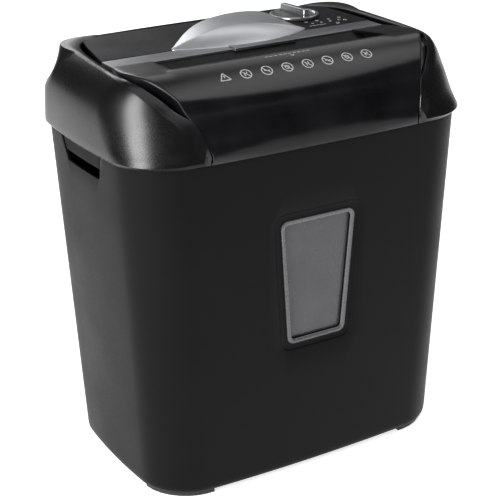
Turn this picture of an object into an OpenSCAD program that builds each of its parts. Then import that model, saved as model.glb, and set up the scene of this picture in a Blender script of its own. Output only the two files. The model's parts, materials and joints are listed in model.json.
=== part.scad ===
// Cross-cut paper shredder: a lift-off cutting head on a tapered waste bin.
// The origin is on the floor under the centre, +Z up, with the front towards -Y.

/* [Bin] */
// Half width of the bin's rim at its corners
rim_hw = 167; // [150:1:190]
// Half depth of the bin's rim at its corners
rim_hd = 104.5; // [95:0.5:125]
// Half width of the bin's base at its corners
base_hw = 152; // [135:1:165]
// Half depth of the bin's base at its corners
base_hd = 97.5; // [88:0.5:104]
// Height of the rim above the floor
rim_z = 320; // [250:5:400]
// Outward bow of the bin's left and right sides
bow_x = 6.9; // [2:0.1:9]
// Outward bow of the bin's front and back
bow_y = 6; // [2:0.1:8]
// Radius of the upright corners
corner_r = 42; // [30:1:50]
// Wall thickness of the bin
bin_wall = 2.6; // [2:0.1:4]
// Height of the feet
foot_h = 5; // [3:0.5:8]

/* [Grip notches] */
// Depth of the notch below the rim
notch_depth = 24; // [16:1:34]
// Length of the notch along the bottom
notch_len = 64; // [50:1:80]
// Drop of the head's skirt into the notch
skirt_drop = 16; // [6:1:18]

/* [Window] */
// Half width of the window opening at its top
window_top = 34.5; // [25:0.5:45]
// Half width of the window opening at its bottom
window_bottom = 26; // [18:0.5:40]
// Height of the window's bottom edge above the floor
window_low = 138; // [90:1:160]
// Height of the window opening
window_h = 111; // [70:1:115]
// Width of the frame round the window
frame_w = 4; // [3:0.5:6]

/* [Head] */
// Height of the slot's front lip above the rim
lip_rise = 67.5; // [64:0.5:78]
// Overhang of the head's lower edge past the rim
overhang = 3.6; // [1:0.2:5]
// Wall thickness of the head's shells
head_wall = 2.5; // [2:0.1:3.5]
// Radius of the rounded front panel
front_r = 72; // [70:0.5:76]
// Half width of the front panel at its bottom
panel_foot = 103; // [90:1:112]

/* [Feed slot] */
// Length of the paper slot
slot_len = 222; // [200:1:236]
// Width of the paper slot
slot_gap = 8; // [5:0.5:10]
// Radius of the raised disc guide
disc_r = 69.5; // [62:0.5:72]
// Depth of the silver strip behind the slot
strip_d = 24; // [18:1:28]

/* [Control] */
// Diameter of the rotary dial
dial_d = 48; // [36:1:50]
// Height of the grip on the dial
grip_h = 8; // [5:0.5:10]

/* [Cutters] */
// Distance between the two cutter shafts
cutter_gap = 30; // [29:0.5:32]
// Outer diameter of a cutting disc
cutter_d = 33; // [32:0.5:35]
// Thickness of a cutting disc
disc_t = 3.8; // [3:0.1:3.9]
// Pitch of the discs along a shaft
disc_pitch = 8; // [7.9:0.1:9]
// Diameter of a cutter shaft
shaft_d = 14; // [10:0.5:16]
// Running clearance of a shaft in its bush, on the radius
run_fit = 0.05; // [0.02:0.01:0.1]

/* [Hidden] */

satin_black = "#232325";
gloss_black = "#101013";
silver = "#b9bcc0";
steel = "#8f949a";
nylon = "#e6e2d6";

$fn = 48;
eps = 0.01;

// ---------- plan outlines ----------

// One corner of an outline, turned in steps from start to start + 90 degrees
CORNER_STEPS = 7;
SIDE_STEPS = 5;
function corner(cx, cy, r, start) =
    [for (i = [0:CORNER_STEPS]) [cx + r * cos(start + 90 * i / CORNER_STEPS),
                                 cy + r * sin(start + 90 * i / CORNER_STEPS)]];
// Points between two corners, so that a straight side can be bowed
function side(p, q) = [for (i = [1:SIDE_STEPS - 1]) p + (q - p) * i / SIDE_STEPS];
function last(list) = list[len(list) - 1];
function joined(c) = [for (k = [0:3]) each concat(c[k], side(last(c[k]), c[(k + 1) % 4][0]))];
function bowed(p, hw, hd, bx, by) =
    [p.x * (1 + bx / hw * (1 - pow(p.y / hd, 2))), p.y * (1 + by / hd * (1 - pow(p.x / hw, 2)))];

// Rounded rectangle with bowed sides: hw half width, hf and hb half depths in front and behind
function outline(hw, hf, hb, rf, rb, bx, by) =
    [for (p = joined([corner(hw - rb, hb - rb, rb, 0), corner(-hw + rb, hb - rb, rb, 90),
                      corner(-hw + rf, -hf + rf, rf, 180), corner(hw - rf, -hf + rf, rf, 270)]))
        bowed(p, hw, p.y > 0 ? hb : hf, bx, by)];
function level(points, z) = [for (p = points) [p.x, p.y, z]];

// A closed skin through a stack of outlines, lowest first
module loft(rings) {
    n = len(rings[0]);
    m = len(rings);
    points = [for (ring = rings) each ring];
    walls = [for (k = [0:m - 2], i = [0:n - 1])
        [k * n + i, (k + 1) * n + i, (k + 1) * n + (i + 1) % n, k * n + (i + 1) % n]];
    base = [for (i = [0:n - 1]) i];
    top = [for (i = [n - 1:-1:0]) (m - 1) * n + i];
    polyhedron(points = points, faces = concat([base], walls, [top]));
}

module mirrored() {
    children();
    mirror([1, 0, 0]) children();
}

// A block given by its lowest and highest corners
module block(low, high) {
    translate(low) cube(high - low);
}

// A cylinder along X from x0 to x1
module rod_x(x0, x1, y, z, d) {
    translate([x0, y, z]) rotate([0, 90, 0]) cylinder(h = x1 - x0, d = d);
}

// A shape drawn as [y, z] and drawn out along X from x0 to x1
module along_x(x0, x1) {
    translate([x0, 0, 0]) rotate([90, 0, 90]) linear_extrude(x1 - x0) children();
}

// A shape drawn as [x, z] and drawn out along Y from y0 to y1
module along_y(y0, y1) {
    translate([0, y1, 0]) rotate([90, 0, 0]) linear_extrude(y1 - y0) children();
}

// ---------- bin ----------

base_edge = 6;
bin_z = foot_h - 1;
function bin_share(z) = (z - bin_z) / (rim_z - bin_z);
function bin_hw(z) = base_hw + (rim_hw - base_hw) * bin_share(z);
function bin_hd(z) = base_hd + (rim_hd - base_hd) * bin_share(z);
function bin_ring(z, inset) =
    level(outline(bin_hw(z) - inset, bin_hd(z) - inset, bin_hd(z) - inset,
                  corner_r - inset, corner_r - inset, bow_x, bow_y), z);

module bin_form(inset, low, high) {
    loft([bin_ring(low, inset + base_edge), bin_ring(low + base_edge * 0.3, inset + base_edge * 0.3),
          bin_ring(low + base_edge, inset), bin_ring(high, inset)]);
}

notch_z = rim_z - notch_depth;
notch_y = -2;
notch_slant = 12;
// Notch profile as [y, z]: leaning ends under an open top
module notch_shape(gap, low) {
    polygon([[notch_y - notch_len / 2 - gap, low - gap], [notch_y + notch_len / 2 + gap, low - gap],
             [notch_y + notch_len / 2 + notch_slant + gap, rim_z + eps],
             [notch_y + notch_len / 2 + notch_slant + gap, rim_z + 20],
             [notch_y - notch_len / 2 - notch_slant / 2 - gap, rim_z + 20],
             [notch_y - notch_len / 2 - notch_slant / 2 - gap, rim_z + eps]]);
}

window_high = window_low + window_h;
recess_grow = 12;
recess_depth = 1.2;
// Window outline as [x, z], grown by a margin on every side
module window_shape(grow, cut) {
    low = window_low - grow;
    high = window_high + grow;
    a = window_bottom + grow;
    b = window_top + grow;
    polygon([[-a + cut, low], [a - cut, low], [a, low + cut], [b, high - cut],
             [b - cut, high], [-b + cut, high], [-b, high - cut], [-a, low + cut]]);
}

interlock_x = 140;
interlock_y = 70;
module bin_shell() {
    color(satin_black) difference() {
        bin_form(0, bin_z, rim_z);
        bin_form(bin_wall, bin_z + bin_wall, rim_z + eps);
        along_x(-rim_hw - 20, rim_hw + 20) notch_shape(0, notch_z);
        along_y(-rim_hd - 20, -rim_hd / 2) window_shape(frame_w + frame_fit, 4);
        // Shallow recess round the window, square to the front wall
        difference() {
            along_y(-rim_hd - 20, 0) window_shape(recess_grow, recess_grow * 0.8);
            bin_form(recess_depth, bin_z, rim_z + eps);
        }
        for (sx = [-1, 1], sy = [-1, 1])
            translate([sx * foot_x, sy * foot_y, bin_z - eps]) cylinder(h = bin_wall + 2, d = foot_pin_d);
    }
}

// The wall leans, so the frame and pane follow it in thin upright layers
module front_layer(outer, inner) {
    difference() {
        bin_form(outer, bin_z, rim_z);
        bin_form(inner, bin_z, rim_z + eps);
    }
}

frame_fit = 0.2;
flange_w = 3;
flange_t = 1.2;
// Bezel that stands in the opening, with a flange behind the bin's wall
module window_frame() {
    color("#6f7276") difference() {
        union() {
            intersection() {
                front_layer(0.2, bin_wall + flange_t / 2);
                along_y(-rim_hd - 20, -rim_hd / 2) window_shape(frame_w, 4);
            }
            intersection() {
                front_layer(bin_wall, bin_wall + flange_t);
                along_y(-rim_hd - 20, -rim_hd / 2) window_shape(frame_w + flange_w, 5);
            }
        }
        along_y(-rim_hd - 21, -rim_hd / 2 + 1) window_shape(0, 2.5);
    }
}

pane_t = 1.6;
module window_pane() {
    color([0.2, 0.2, 0.22, 0.6]) intersection() {
        front_layer(bin_wall + flange_t, bin_wall + flange_t + pane_t);
        along_y(-rim_hd - 20, -rim_hd / 2) window_shape(frame_w + flange_w, 5);
    }
}

foot_x = base_hw - 30;
foot_y = base_hd - 26;
foot_pin_d = 6;
pin_fit = 0.1;
module bin_feet() {
    color("#161617") for (sx = [-1, 1], sy = [-1, 1]) {
        intersection() {
            loft([bin_foot_ring(0, 5), bin_foot_ring(1.2, 3.8), bin_foot_ring(bin_z, 3.8)]);
            block([sx > 0 ? base_hw - 48 : -base_hw - 20, sy > 0 ? base_hd - 42 : -base_hd - 20, -1],
                  [sx > 0 ? base_hw + 20 : -base_hw + 48, sy > 0 ? base_hd + 20 : -base_hd + 42, bin_z]);
            difference() {
                block([-rim_hw, -rim_hd, -1], [rim_hw, rim_hd, bin_z]);
                loft([bin_foot_ring(-2, 34), bin_foot_ring(bin_z + 1, 34)]);
            }
        }
        translate([sx * foot_x, sy * foot_y, bin_z - 1]) cylinder(h = bin_wall + 1, d = foot_pin_d - 2 * pin_fit);
    }
}
function bin_foot_ring(z, inset) =
    level(outline(base_hw - inset, base_hd - inset, base_hd - inset,
                  corner_r - inset, corner_r - inset, bow_x, bow_y), z);

// Rib inside the rim that presses the head's interlock plunger
tab_w = 14;
tab_h = 16;
tab_gap = 0.4;
module interlock_tab() {
    color(satin_black) difference() {
        block([interlock_x - tab_w / 2, interlock_y - 4, interlock_z - tab_h],
              [rim_hw, interlock_y + 4, interlock_z - tab_gap]);
        difference() {
            block([-rim_hw - 30, -rim_hd - 30, 0], [rim_hw + 30, rim_hd + 30, rim_z + 5]);
            bin_form(bin_wall, bin_z, rim_z + 10);
        }
    }
}

// ---------- head form ----------

head_z = rim_z + 0.4;
flare_z = rim_z + 3.5;
lip_z = rim_z + lip_rise;
front_cz = rim_z - 2.5;
front_cy = -rim_hd - bow_y + front_r;
crest_z = lip_z - 3;
head_top = lip_z + 6;
head_h = head_top - rim_z;

// Inward lean of the head's sides at height z, growing towards the top
function lean(z) = let (t = (z - flare_z) / (crest_z - flare_z)) t <= 0 ? 0 : 1.8 * t + 17 * pow(t, 5);
function side_step(z) = z <= flare_z ? overhang * (z - head_z) / (flare_z - head_z) : overhang - lean(z);
function rear_step(z) = z <= flare_z ? side_step(z) : overhang - 0.75 * lean(z);
function front_hd(z) = z <= flare_z ? rim_hd + side_step(z)
    : max(-front_cy - bow_y + sqrt(max(pow(front_r, 2) - pow(z - front_cz, 2), 1)),
          rim_hd + overhang * (1 - (z - flare_z) / 8));
function front_corner(z) = corner_r + 14 * max(0, sin(180 * (z - rim_z) / (lip_rise - 8)));
function bow_share(z) = 1 - 0.75 * pow((z - rim_z) / head_h, 2);
function head_ring(z, inset) =
    level(outline(rim_hw + side_step(z) - inset, front_hd(z) - inset, rim_hd + rear_step(z) - inset,
                  max(front_corner(z) - inset, 20), corner_r - inset,
                  bow_x * bow_share(z), bow_y * bow_share(z)), z);

head_levels = [head_z, flare_z, flare_z + 8];
upper_levels = [for (t = [0.32, 0.46, 0.58, 0.69, 0.78, 0.86, 0.93, 1]) flare_z + t * (head_top - flare_z)];
module head_form(inset) {
    loft([for (z = concat(head_levels, upper_levels)) head_ring(z, inset)]);
}

// Side profile of the ears as [y, z], its crest rising gently to the back
crest_slope = 0.03;
ear_front_r = front_r - 1;
module ear_profile(inset) {
    intersection() {
        polygon([[-rim_hd - 30, head_z - 2], [rim_hd + 30, head_z - 2],
                 [rim_hd + 30, crest_z - inset + crest_slope * (rim_hd + 30)],
                 [-rim_hd - 30, crest_z - inset - crest_slope * (rim_hd + 30)]]);
        union() {
            translate([front_cy, front_cz]) circle(r = ear_front_r - inset, $fn = 96);
            translate([front_cy - 6, head_z - 2]) square([rim_hd * 3, head_h + 20]);
            translate([-rim_hd - 30, head_z - 2]) square([rim_hd, flare_z + 10 - head_z]);
        }
    }
}

// Half of the opening inside the ears, as [x, y] from back to front
ear_inner = [[0, 93], [131, 93], [137, 84], [144, 60], [147.5, 20], [149, -35], [148, -62],
             [142, -79], [132, -95], [122, -103.5], [112, -109], [106, -113], [106, -125], [0, -125]];
// Half of the front panel's plan, as [x, y]
panel_plan = [[0, -3.5], [141, -3.5], [145, -35], [143, -58], [131, -79], [118, -96], [110, -105],
              [104.5, -110], [panel_foot, -114], [panel_foot, -130], [0, -130]];
panel_back_y = -3.5;
plan_w = rim_hw / 167;
plan_d = rim_hd / 104.5;
module both_sides(half) {
    mirrored() polygon([for (p = half) [p.x * plan_w, p.y * plan_d]]);
}

module panel_side_profile(inset) {
    translate([front_cy, front_cz]) circle(r = front_r - inset, $fn = 128);
}

strip_y = panel_back_y * plan_d;
strip_z = lip_z - 5;
strip_back = strip_y + strip_d;
lip_y = front_cy - sqrt(pow(front_r, 2) - pow(lip_z - front_cz, 2));
throat_z = rim_z + 50;

// ---------- head covers ----------

module head_skirt(inset) {
    along_x(-rim_hw - 20, rim_hw + 20) difference() {
        notch_shape(-1.5 - inset, rim_z - skirt_drop);
        translate([-rim_hd, rim_z + 1]) square([2 * rim_hd, 40]);
    }
}

vent_pitch = 7;
vent_rows = 9;
module head_shell() {
    color(satin_black) {
        difference() {
            intersection() {
                head_form(0);
                along_x(-rim_hw - 20, rim_hw + 20) ear_profile(0);
            }
            intersection() {
                translate([0, 0, -eps]) head_form(head_wall);
                along_x(-rim_hw - 20, rim_hw + 20) ear_profile(head_wall);
            }
            translate([0, 0, head_z - 1]) intersection() {
                linear_extrude(head_h + 20) both_sides(ear_inner);
                block([-200, -rim_hd * 1.5, 0], [200, rim_hd * 1.5, 120]);
            }
            // Cooling slots in the back wall, over the motor
            for (i = [0:vent_rows - 1])
                block([vent_x + i * vent_pitch, rim_hd - 15, rim_z + 18],
                      [vent_x + i * vent_pitch + 3, rim_hd + 20, rim_z + 42]);
            // Hole for the cord inlet
            translate([inlet_x, rim_hd - 15, inlet_z]) rotate([-90, 0, 0]) cylinder(h = 40, d = inlet_d);
            translate([inlet_x, inlet_y, inlet_z]) rotate([-90, 0, 0]) cylinder(h = 20, d = inlet_flange + 0.2);
        }
        // Skirts that drop into the bin's grip notches
        intersection() {
            difference() {
                bin_form(0.6, bin_z, rim_z + 5);
                bin_form(0.6 + head_wall, bin_z, rim_z + 6);
            }
            head_skirt(0);
        }
    }
}
vent_x = 28;
inlet_x = -120;
inlet_z = rim_z + 22;
inlet_d = 14;
inlet_flange = 19;
// Where the flange sits in the back wall
inlet_y = rim_hd + 5.1;

module front_panel() {
    color(gloss_black) difference() {
        intersection() {
            head_form(0);
            union() {
                along_x(-rim_hw, rim_hw) intersection() {
                    panel_side_profile(0);
                    polygon([[-rim_hd - 30, head_z], [lip_y, head_z], [lip_y, lip_z + 1], [-rim_hd - 30, lip_z + 1]]);
                }
                along_x(-rim_hw, rim_hw) polygon([[lip_y - eps, head_z], [strip_y, head_z],
                                                  [strip_y, strip_z], [lip_y - eps, lip_z]]);
                along_x(-rim_hw, rim_hw) polygon([[-rim_hd - 30, head_z], [-rim_hd + 5, head_z],
                                                  [-rim_hd + 5, flare_z + 6], [-rim_hd - 30, flare_z + 6]]);
            }
            translate([0, 0, head_z]) linear_extrude(head_h + 20) both_sides(panel_plan);
        }
        intersection() {
            translate([0, 0, -eps]) head_form(head_wall);
            union() {
                along_x(-rim_hw, rim_hw) intersection() {
                    panel_side_profile(head_wall);
                    polygon([[-rim_hd - 30, head_z - 1], [lip_y, head_z - 1],
                             [lip_y, lip_z - head_wall], [-rim_hd - 30, lip_z - head_wall]]);
                }
                along_x(-rim_hw, rim_hw)
                    polygon([[lip_y - eps, head_z - 1], [strip_y + 1, head_z - 1],
                             [strip_y + 1, strip_z - head_wall], [lip_y - eps, lip_z - head_wall]]);
            }
        }
        feed_opening(0);
    }
}

// Half length of the funnel over the slot at the strip, longer than the slot itself
funnel_more = 12;
module feed_opening(gap) {
    translate([0, 0, rim_z + 40]) linear_extrude(60)
        polygon([[-slot_len / 2 - gap, lip_y + 0.5 - gap], [slot_len / 2 + gap, lip_y + 0.5 - gap],
                 [slot_len / 2 + funnel_more + gap, strip_y + 1], [-slot_len / 2 - funnel_more - gap, strip_y + 1]]);
}

// Glossy floor of the grooves between the ears and the front panel
groove_drop = 7;
liner_t = 2;
liner_lap = 9;
module groove_liner() {
    color(gloss_black) difference() {
        intersection() {
            head_form(groove_drop);
            along_x(-rim_hw, rim_hw) ear_profile(groove_drop);
            translate([0, 0, head_z + 2.5]) linear_extrude(head_h) both_sides(ear_inner);
        }
        intersection() {
            translate([0, 0, -1]) head_form(groove_drop + liner_t);
            along_x(-rim_hw, rim_hw) ear_profile(groove_drop + liner_t);
        }
        // Open in the middle, where the feed and the panels are
        translate([0, 0, rim_z - 20]) linear_extrude(head_h + 60)
            both_sides([for (p = panel_plan) [p.x > 0 ? p.x - liner_lap : 0, p.y + 4]]);
        block([-200, strip_back + 2, rim_z - 20], [200, rim_hd + 30, head_top + 20]);
        // Room for the front comb and its screws, which move with the front cutter
        block([-plate_x - plate_t - 4, front_y - cutter_d / 2 - 13, rim_z - 20],
              [plate_x + plate_t + 4, front_y, nip_z + cutter_d / 2 + 6]);
    }
}

// ---------- top of the head ----------

panel_rise = 0.052;
panel_t = 2.5;
function panel_z(y) = strip_z + panel_rise * (y - strip_back);
// The dial's right edge keeps its place in the panel whatever its diameter
dial_x = 111 - dial_d / 2;
dial_y = 67;
dial_z = panel_z(dial_y);
dial_recess = 1.2;
top_inner = [[0, strip_back + 0.3], [141, strip_back + 0.3], [134, 60], [128, 84], [120, 92.7], [0, 92.7]];
module top_slab(t, drop) {
    along_x(-rim_hw, rim_hw)
        polygon([[strip_y - 40, panel_z(strip_y - 40) - drop], [rim_hd, panel_z(rim_hd) - drop],
                 [rim_hd, panel_z(rim_hd) - drop - t], [strip_y - 40, panel_z(strip_y - 40) - drop - t]]);
}

module top_panel() {
    color("#1c1d21") difference() {
        intersection() {
            top_slab(panel_t, 0);
            translate([0, 0, rim_z]) linear_extrude(120) both_sides(top_inner);
        }
        translate([0, strip_back, rim_z]) cylinder(h = 120, r = disc_r + 0.4, $fn = 96);
        translate([dial_x, dial_y, dial_z - dial_recess]) cylinder(h = 20, d = dial_d + 1.2);
        translate([dial_x, dial_y, rim_z]) cylinder(h = 120, d = spindle_d + 2 * run_fit);
        for (i = [0:led_count - 1]) translate([led_x(i), led_y, rim_z]) cylinder(h = 120, d = led_d + 0.1);
    }
}

dome_rise = 8;
dome_edge = 3.5;
dome_r = (pow(disc_r, 2) + pow(dome_rise, 2)) / (2 * dome_rise);
lip_tab_w = 64;
lip_tab_x = 12;
module disc_guide() {
    color(silver) {
        intersection() {
            union() {
                block([-142, strip_y + 0.3, strip_z - 3], [142, strip_back, strip_z]);
                block([lip_tab_x - lip_tab_w / 2, strip_y - 1.2, strip_z - 3],
                      [lip_tab_x + lip_tab_w / 2, strip_y + 3, strip_z + 1]);
            }
            translate([0, 0, rim_z]) linear_extrude(120)
                mirrored() polygon([[0, -20], [139.5, -20], [143, strip_back], [0, strip_back]]);
        }
        // Raised half-round guide behind the strip
        intersection() {
            translate([0, strip_back, strip_z - 3]) cylinder(h = 40, r = disc_r, $fn = 96);
            translate([0, strip_back, strip_z + dome_edge + dome_rise - dome_r]) sphere(r = dome_r, $fn = 128);
            block([-disc_r, strip_back - eps, strip_z - 3], [disc_r, strip_back + disc_r + 1, head_top + 20]);
        }
        // Blend from the strip up to the dome
        intersection() {
            translate([0, strip_back, strip_z - 1]) cylinder(h = 40, r = disc_r, $fn = 96);
            translate([0, strip_back, strip_z + dome_edge + dome_rise - dome_r]) sphere(r = dome_r, $fn = 128);
            along_x(-disc_r, disc_r) polygon([[strip_back + eps, strip_z - 1], [strip_y + 3, strip_z - 1],
                                              [strip_y + 3, strip_z], [strip_back, strip_z + dome_edge + dome_rise],
                                              [strip_back + eps, strip_z + dome_edge + dome_rise]]);
        }
    }
}

nip_y = -50;
nip_z = rim_z + 25;
throat_wall = 2;
// Funnel that takes the sheet down to the cutters
module slot_throat() {
    color("#0c0c0d") difference() {
        union() {
            along_x(-slot_len / 2 - throat_wall, slot_len / 2 + throat_wall)
                polygon([[lip_y + 1, lip_z - 4], [strip_y - 1.6, strip_z - 1], [strip_y - 1.6, strip_z - 3],
                         [nip_y + slot_gap / 2 + throat_wall, throat_z - 2],
                         [nip_y + slot_gap / 2 + throat_wall, nip_z + cutter_d / 2 + 1],
                         [nip_y - slot_gap / 2 - throat_wall, nip_z + cutter_d / 2 + 1],
                         [nip_y - slot_gap / 2 - throat_wall, throat_z],
                         [lip_y + 1, throat_z + 6]]);
        }
        along_x(-slot_len / 2, slot_len / 2)
            polygon([[lip_y + 1 + throat_wall, lip_z], [strip_y + 3, strip_z + 1], [strip_y - 1.6, strip_z - 1],
                     [nip_y + slot_gap / 2, throat_z], [nip_y + slot_gap / 2, nip_z],
                     [nip_y - slot_gap / 2, nip_z], [nip_y - slot_gap / 2, throat_z + 2],
                     [lip_y + 1 + throat_wall, throat_z + 8]]);
        // Window for the sensor lever
        block([lever_x - 5, nip_y - 20, nip_z], [lever_x + 5, nip_y - slot_gap / 2 + 1, throat_z + 1]);
    }
}

// ---------- controls ----------

spindle_d = 6;
module control_dial() {
    color(silver) translate([dial_x, dial_y, dial_z]) {
        difference() {
            union() {
                translate([0, 0, -dial_recess + 0.4]) cylinder(h = 3, d = dial_d);
                translate([-2.8, -dial_d / 2 + 1.5, 1]) cube([5.6, dial_d - 3, grip_h]);
            }
            translate([0, 0, -3]) cylinder(h = 6, d = spindle_d);
            translate([-4, -dial_d / 2, grip_h + 1]) rotate([14, 0, 0]) cube([8, 12, 4]);
        }
    }
}

switch_top = strip_z - 14;
module dial_spindle() {
    color(nylon) translate([dial_x, dial_y, switch_top - 6]) cylinder(h = dial_z + 3 - dial_recess - switch_top + 3, d = spindle_d);
}

module rotary_switch() {
    color("#2a2a2e") difference() {
        translate([dial_x, dial_y, 0]) block([-13, -11, switch_top - 16], [13, 11, switch_top]);
        translate([dial_x, dial_y, switch_top - 6.5]) cylinder(h = 20, d = spindle_d + 2 * run_fit);
    }
}

led_count = 4;
led_d = 3;
led_pitch = 10;
led_y = 33;
function led_x(i) = dial_x - 1 + i * led_pitch;
module indicator_lenses() {
    color("#d9dde0") for (i = [0:led_count - 1])
        translate([led_x(i), led_y, panel_z(led_y) - panel_t - 4]) cylinder(h = panel_t + 4.4, d = led_d);
}

board_t = 1.6;
board_z = switch_top - 16 - board_t;
module control_board() {
    color("#2f6b3a") difference() {
        union() {
            block([dial_x - 22, led_y - 6, board_z], [dial_x + 46, dial_y + 16, board_z + board_t]);
            // Relay and capacitor cans
            block([dial_x + 20, dial_y - 14, board_z + board_t], [dial_x + 34, dial_y + 2, board_z + 14]);
            translate([dial_x + 28, dial_y - 24, board_z]) cylinder(h = 14, d = 12);
        }
        for (x = [dial_x - 18, dial_x + 41], y = [led_y - 2, dial_y + 12])
            translate([x, y, board_z - 1]) cylinder(h = 4, d = 3.2);
    }
}

// ---------- paper sensor ----------

lever_x = -9;
lever_y = nip_y - slot_gap / 2 - 7;
lever_z = throat_z - 5;
lever_t = 3;
module sensor_lever() {
    color("#c9c4b6") difference() {
        union() {
            rod_x(lever_x - lever_t / 2, lever_x + lever_t / 2, lever_y, lever_z, 6);
            along_x(lever_x - lever_t / 2, lever_x + lever_t / 2)
                polygon([[lever_y, lever_z + 2.4], [nip_y + 2, lever_z + 1], [nip_y + 2.5, lever_z - 1.5],
                         [lever_y, lever_z - 2.4]]);
        }
        rod_x(lever_x - 3, lever_x + 3, lever_y, lever_z, 3 + 2 * run_fit);
    }
}

module sensor_pin() {
    color(steel) rod_x(lever_x - 7, lever_x + 7, lever_y, lever_z, 3);
}

module sensor_housing() {
    color("#1d1d20") difference() {
        block([lever_x - 7, lever_y - 7, lever_z - 3.2], [lever_x + 7, lever_y + 3.5, lever_z + 4]);
        block([lever_x - 3, lever_y - 5, lever_z - 8], [lever_x + 3, lever_y + 5, lever_z + 5]);
        rod_x(lever_x - 8, lever_x + 8, lever_y, lever_z, 3);
    }
}

// ---------- cutting mechanism ----------

front_y = nip_y - cutter_gap / 2;
rear_y = nip_y + cutter_gap / 2;
plate_x = slot_len / 2 + 6;
plate_t = 2;
plate_low = rim_z - 4;
plate_high = rim_z + 50;
disc_count = floor((slot_len - 4) / disc_pitch);
first_x = -disc_pitch * (disc_count - 1) / 2;
axial_gap = (disc_pitch - 2 * disc_t) / 2;
spacer_d = cutter_d - 8;

rod_d = 6;
rod_places = [[front_y - 20, rim_z + 8], [front_y - 8, rim_z + 44], [rear_y + 25, rim_z + 10], [rear_y + 22, rim_z + 44]];
bush_d = shaft_d + 6;

module plate_shape(back) {
    difference() {
        intersection() {
            translate([front_y - 28, plate_low]) square([back - front_y + 28, plate_high - plate_low]);
            union() {
                translate([front_cy, front_cz]) circle(r = front_r - groove_drop - liner_t - 5, $fn = 96);
                translate([front_cy, plate_low]) square([back - front_cy, plate_high - plate_low]);
            }
        }
        for (y = [front_y, rear_y]) translate([y, nip_z]) circle(d = bush_d);
        for (p = rod_places) translate(p) circle(d = 4.2);
    }
}

// The drive train is on the left, clear of the control panel
module on_drive_side() {
    mirror([1, 0, 0]) children();
}

module idle_side_plate() {
    color(steel) along_x(plate_x, plate_x + plate_t) plate_shape(rear_y + 30);
}

gear_b_y = rear_y + 37.5;
gear_a_y = gear_b_y + 33.125;
motor_y = gear_a_y + 31;
motor_z = nip_z;
post_d = 6;
module drive_side_plate() {
    color(steel) on_drive_side() along_x(plate_x, plate_x + plate_t) difference() {
        plate_shape(motor_y + 26);
        for (y = [gear_b_y, gear_a_y]) translate([y, nip_z]) circle(d = post_d);
        translate([motor_y, motor_z]) circle(d = 18);
        for (a = [0, 180]) translate([motor_y + 19 * cos(a), motor_z + 19 * sin(a)]) circle(d = 4.2);
    }
}

module tie_rods() {
    color(steel) for (p = rod_places) difference() {
        rod_x(-plate_x, plate_x, p.x, p.y, rod_d);
        for (s = [-1, 1]) rod_x(s > 0 ? plate_x - 12 : -plate_x - 1, s > 0 ? plate_x + 1 : -plate_x + 12, p.x, p.y, 3.3);
    }
}

module shaft_bushes() {
    color("#b08d57") for (s = [-1, 1], y = [front_y, rear_y]) difference() {
        union() {
            rod_x(s > 0 ? plate_x : -plate_x - plate_t, s > 0 ? plate_x + plate_t : -plate_x, y, nip_z, bush_d);
            rod_x(s > 0 ? plate_x - 2 : -plate_x, s > 0 ? plate_x : -plate_x + 2, y, nip_z, bush_d + 4);
        }
        rod_x(-plate_x - 10, plate_x + 10, y, nip_z, shaft_d + 2 * run_fit);
    }
}

module cutter_shaft(y, x0, x1) {
    color(steel) on_drive_side() rod_x(x0, x1, y, nip_z, shaft_d);
}

hooks = 3;
hook_depth = 2.4;
// Cutting disc as [y, z] about its shaft, with a few hooked teeth round the rim
module cutting_disc(turn) {
    difference() {
        circle(d = cutter_d, $fn = 64);
        for (i = [0:hooks - 1]) rotate(turn + i * 360 / hooks) translate([cutter_d / 2 - hook_depth, 0])
            polygon([[0, 0], [hook_depth + 1, 0], [hook_depth + 1, 7], [hook_depth - 0.4, 6.4]]);
        circle(d = shaft_d);
    }
}

twist = 9;
module disc_row(y, shift, way) {
    color("#7d8288") for (i = [0:disc_count - 1]) {
        x = first_x + shift + i * disc_pitch;
        translate([x - disc_t / 2, y, nip_z]) rotate([90, 0, 90]) linear_extrude(disc_t) cutting_disc(way * i * twist);
    }
}

// ---------- stripper combs ----------

comb_t = disc_pitch - disc_t - 0.8;
comb_fit = 0.5;
comb_up = 9;
module comb(y, shift, way) {
    back_y = y + way * (cutter_d / 2 + 3);
    color("#17171a") {
        difference() {
            union() {
                for (i = [0:disc_count - 2]) {
                    x = first_x + shift + (i + 0.5) * disc_pitch;
                    along_x(x - comb_t / 2, x + comb_t / 2)
                        polygon([[y, nip_z + comb_up], [back_y, nip_z + comb_up], [back_y, nip_z - 12], [y, nip_z - 12]]);
                }
                along_x(-plate_x + 3, plate_x - 3)
                    polygon([[back_y - way, nip_z + comb_up], [back_y + way * 2.5, nip_z + comb_up],
                             [back_y + way * 2.5, nip_z - 12], [back_y - way, nip_z - 12]]);
            }
            rod_x(-plate_x, plate_x, y, nip_z, shaft_d + 2 * comb_fit);
        }
    }
}

// ---------- gears ----------

pressure = 20;
tooth_fill = 0.86;
function involute(a) = tan(a) * 180 / PI - a;
function half_angle(n, m, r) =
    let (base_r = n * m / 2 * cos(pressure), a = r > base_r ? acos(base_r / r) : 0)
    90 / n * tooth_fill + involute(pressure) - involute(a);
// Gear outline: each tooth has a root, a flank of four points and a tip
function gear_points(n, m) =
    let (root = n * m / 2 - 1.2 * m, tip = n * m / 2 + 0.9 * m, low = max(root + 0.1 * m, n * m / 2 * cos(pressure)))
    [for (i = [0:n - 1]) let (c = 360 / n * i, steps = [low, (low + tip) / 2, tip])
        each concat([[root, c - half_angle(n, m, low)]], [for (r = steps) [r, c - half_angle(n, m, r)]],
                    [for (k = [2:-1:0]) [steps[k], c + half_angle(n, m, steps[k])]],
                    [[root, c + half_angle(n, m, low)]])];
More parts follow.
